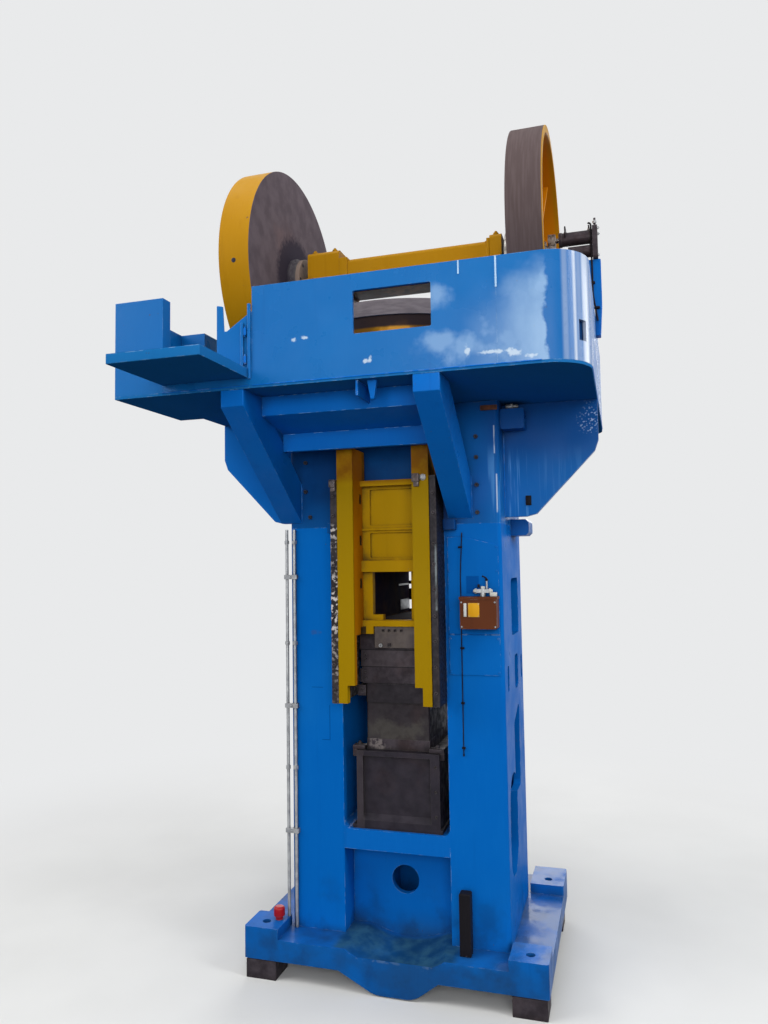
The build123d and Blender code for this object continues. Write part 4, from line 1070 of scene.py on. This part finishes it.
# Discs: bolts and screws round the hubs, a plug in the left disc's rim
with piece("disc_hub_bolts", "dark_steel", "disc_shaft") as bm:
    for (side, axis), (y, z) in product(((-1, -X), (1, X)), around(150, 10)):
        hex_bolt(bm, at(side * 1190, y, SHAFT_Z + z), axis, 16)
HUB_IN = span("right_hub", "x")[0]
HUB_SCREW = [(15, -1), (15, 2.5), (13, 3.5), (8, 3.5), (7, 1.0)]
with piece("hub_screws", "dark_steel", "disc_shaft", material=SCREW_BLACK) as bm:
    for (side, axis), (y, z) in product(((-1, X), (1, -X)), around(200)):
        lathe(bm, at(side * HUB_IN, y, SHAFT_Z + z), axis, HUB_SCREW, 20)
with piece("rim_plug", "dark_steel", "disc_shaft", material=SCREW_BLACK) as bm:
    across, drop = -995.9, -90.6
    outward = Vector((0, across, drop)).normalized()
    lathe(bm, at(-1165, across, SHAFT_Z + drop), outward, [(19, -4), (19, 0.6), (17, 1.2)], 24)

# Shift cylinder: end plate nuts, air lines and their fittings
END_PLATE = span("shift_cylinder", "x")[1]
PORT_Z = SHAFT_Z + 172
LINE_Z = SHAFT_Z + 212
REAR_PORT, FRONT_PORT = 1400, 1590
with piece("cylinder_fittings", "galvanised") as bm:
    for y, rise in product((-62, 62), (-64, 164)):
        stud(bm, at(END_PLATE, y, SHAFT_Z + rise), X, 13)
    for x in (REAR_PORT, FRONT_PORT):
        lathe(bm, at(x, 0, PORT_Z), Z, [(13, 0), (13, 14), (9, 16), (9, 26)], 6)
    lathe(bm, at(1638, 0, SHAFT_Z + 230), Z, [(15, 0), (17, 4), (17, 20), (12, 24)], 6)
with piece("air_lines", "black_paint") as bm:
    foot = PORT_Z + 18
    rear = [at(REAR_PORT, 0, foot), at(REAR_PORT, 0, LINE_Z - 6), at(REAR_PORT, -66, LINE_Z - 6)]
    tube(bm, rounded(rear, 12), 6.0)
    tube(bm, [at(REAR_PORT, -66, LINE_Z - 4), at(REAR_PORT, -66, SHAFT_Z + 120)], 6.0)
    supply = [at(FRONT_PORT, -66, LINE_Z), at(1608, -66, LINE_Z), at(1608, -66, 5240), at(1640, -62, 5020)]
    tube(bm, rounded(supply, 24), 7.5)
    front = [at(FRONT_PORT, 0, foot), at(FRONT_PORT, 0, LINE_Z - 8), at(FRONT_PORT, -52, LINE_Z - 14)]
    tube(bm, rounded(front, 10), 6.0)
    plate(bm, (1588, -76, 5330), (1628, -44, 5346), 2)
    plate(bm, (1614, -74, 5120), (1660, -44, 5136), 2)

# Access hinge: knuckles and pins
HINGE_PIN = [(5, -60), (5, 2), (8, 3), (8, 8), (5, 10)]
with piece("hinge_knuckles", "blue_paint", material=FRESH_BLUE) as bm:
    for z in (SILL_TOP + 64, SILL_TOP + 264):
        lathe(bm, at(-751, GUARD_FRONT - 17, z), Z, [(9, 0), (11, 2), (11, 50), (9, 52)], 16)
        lathe(bm, at(-751, GUARD_FRONT - 17, z + 52), Z, HINGE_PIN, 14)

# Guard: weld beads along the floor and the seams, those on the seams pale as a painted highlight, and a dark
# strip of painted shade behind the slot in its corner
STEP_RIGHT = span("access_step", "x")[1]
CORNER_START = GUARD_RIGHT - 300
REAR_WELD = GUARD_BACK - 7
WELD_TOP = GUARD_TOP - 3
GUARD_RUNS = (
    ((ACCESS_X, GUARD_FRONT, FLOOR_TOP), (CORNER_START, GUARD_FRONT, FLOOR_TOP)),
    ((PANEL_X, GUARD_FRONT, FLOOR_TOP), (STEP_RIGHT, GUARD_FRONT, FLOOR_TOP)),
    ((GUARD_RIGHT, -1290, FLOOR_TOP), (GUARD_RIGHT, 1290, FLOOR_TOP)),
    ((SEAM_X, REAR_WELD, FLOOR_TOP), (SEAM_X, REAR_WELD, WELD_TOP)),
    ((REAR_SEAM_X, REAR_WELD, FLOOR_TOP), (REAR_SEAM_X, REAR_WELD, WELD_TOP)),
    ((REAR_SEAM_X, REAR_WELD, FLOOR_TOP), (SEAM_X, REAR_WELD, FLOOR_TOP)),
)
with piece("guard_welds", "blue_paint", material=FRESH_BLUE) as bm:
    for start, end in GUARD_RUNS:
        weld(bm, start, end, 5)
# Pale beads: painted highlight along the seams
with piece("guard_seams", "blue_paint", material=SEAM_HIGHLIGHT_PAINT) as bm:
    weld(bm, (SEAM_X, GUARD_FRONT, 4850), (SEAM_X, GUARD_FRONT, WELD_TOP), 6)
    weld(bm, (794, GUARD_FRONT, 4966), (794, GUARD_FRONT, WELD_TOP), 5)
# A dark sheet of painted shade behind the slot
with piece("slot_shade_strip", "blue_paint", material=SHADED_BLUE) as bm:
    plate(bm, (-4, -84, 4462), (4, 84, 4634), 1.5)
    round_corner = Matrix.Translation((1.5452, -1.4408, 0)) @ Matrix.Rotation(math.radians(-32), 4, "Z")
    bmesh.ops.transform(bm, matrix=round_corner, verts=bm.verts)

# Frame: weld beads where the braces and the wings meet the crosshead
with piece("frame_welds", "blue_paint", material=FRESH_BLUE) as bm:
    for tag, y in product(("left", "right"), (COLUMN_FRONT, COLUMN_BACK)):
        for x in span(f"front_brace_{tag}", "x"):
            weld(bm, (x, y, BRACE_FOOT + 6), (x, y, BRACE_FOOT + 330), 7)
    for x, y in product((-COLUMN_HALF, COLUMN_HALF), (WING_FRONT, WING_BACK)):
        weld(bm, (x, y, WING_FOOT + 7), (x, y, HEAD_TOP - 4), 8)

# Camera
camera_data = bpy.data.cameras.new("camera")
camera_data.sensor_width = SENSOR_WIDTH
camera_data.lens = FOCAL_PIXELS / IMAGE_HEIGHT * SENSOR_WIDTH
camera = placed("camera", camera_data)
camera.matrix_world = Matrix.Translation(CAMERA_AT)
for degrees, axis in ((CAMERA_YAW, "Z"), (90 + CAMERA_PITCH, "X"), (CAMERA_ROLL, "Z")):
    camera.matrix_world @= Matrix.Rotation(math.radians(degrees), 4, axis)
camera_data.clip_end = 200
scene.camera = camera


def seen(tree):
    """1 for camera, glossy and transmission rays, 0 for the rest."""
    path = tree.add("LightPath").outputs
    return tree.most(path["Is Camera Ray"], path["Is Glossy Ray"], path["Is Transmission Ray"])


# Floor: takes the shadow near the press, fades to the backdrop far off
FLOOR_HALF = 60
FLOOR_FADE = (2.4, 8.0)
corners = [(-1, -1, 0), (1, -1, 0), (1, 1, 0), (-1, 1, 0)]
floor_mesh = bpy.data.meshes.new("floor")
floor_mesh.from_pydata([Vector(c) * FLOOR_HALF for c in corners], [], [(0, 1, 2, 3)])
floor = placed("floor", floor_mesh)
pale = Shader("pale_floor")
pale.tone = pale.mix(pale.cloud(0.6, 3.0, 0.3, 0.7), srgb(222, 222, 220), srgb(216, 216, 214))
pale.roughness = 0.9
pale.finish(0.0, 0.2)
glow = pale.add("Emission", {"Color": BACKDROP, "Strength": 1.0}).outputs[0]
far = pale.add("VectorMath", {0: pale.place}, operation="LENGTH").outputs["Value"]
shown = pale.blend(pale.ramp(far, *FLOOR_FADE), pale.bsdf.outputs[0], glow)
dull = pale.add("BsdfDiffuse", {"Color": srgb(96, 98, 100)}).outputs[0]
pale.surface("Material Output", pale.blend(seen(pale), dull, shown))
floor_mesh.materials.append(pale.material)

# World: the backdrop where it shows, a soft grey where it lights
world = bpy.data.worlds.new("world")
scene.world = world
world.use_nodes = True
sky = Tree(world.node_tree)
light = sky.add("Background", {"Color": srgb(226, 228, 232), "Strength": 0.34}).outputs[0]
backdrop = sky.add("Background", {"Color": BACKDROP, "Strength": 1.0}).outputs[0]
sky.surface("World Output", sky.blend(seen(sky), light, backdrop))


def area_light(name, place, target, size, power, colour=(1, 1, 1)):
    """A rectangular lamp that faces its target; size in metres, power in watts."""
    data = bpy.data.lights.new(name, "AREA")
    data.shape = "RECTANGLE"
    data.size, data.size_y = size
    data.energy = power
    data.color = colour
    lamp = placed(name, data)
    lamp.location = place
    lamp.rotation_euler = (Vector(target) - Vector(place)).to_track_quat("-Z", "Y").to_euler()


area_light("window_left", (-9.5, -6.0, 9.5), (0, 0, 4.2), (8, 6), 720, (1.0, 0.99, 0.97))
area_light("window_right", (9.0, -3.0, 8.5), (0, 0, 4.2), (2.6, 6), 420, (0.97, 0.99, 1.0))
area_light("skylight", (0.0, -3.0, 13.0), (0, 0, 4.5), (10, 8), 560)
area_light("front_fill", (2.5, -11.0, 5.0), (0, 0, 3.2), (8, 5), 620)
area_light("rear_fill", (-2.0, 11.0, 6.5), (0, 0, 3.6), (8, 5), 620)
area_light("rear_right", (10.0, 5.0, 6.5), (0, 0, 3.6), (5, 5), 300)

scene.view_settings.view_transform = "Standard"
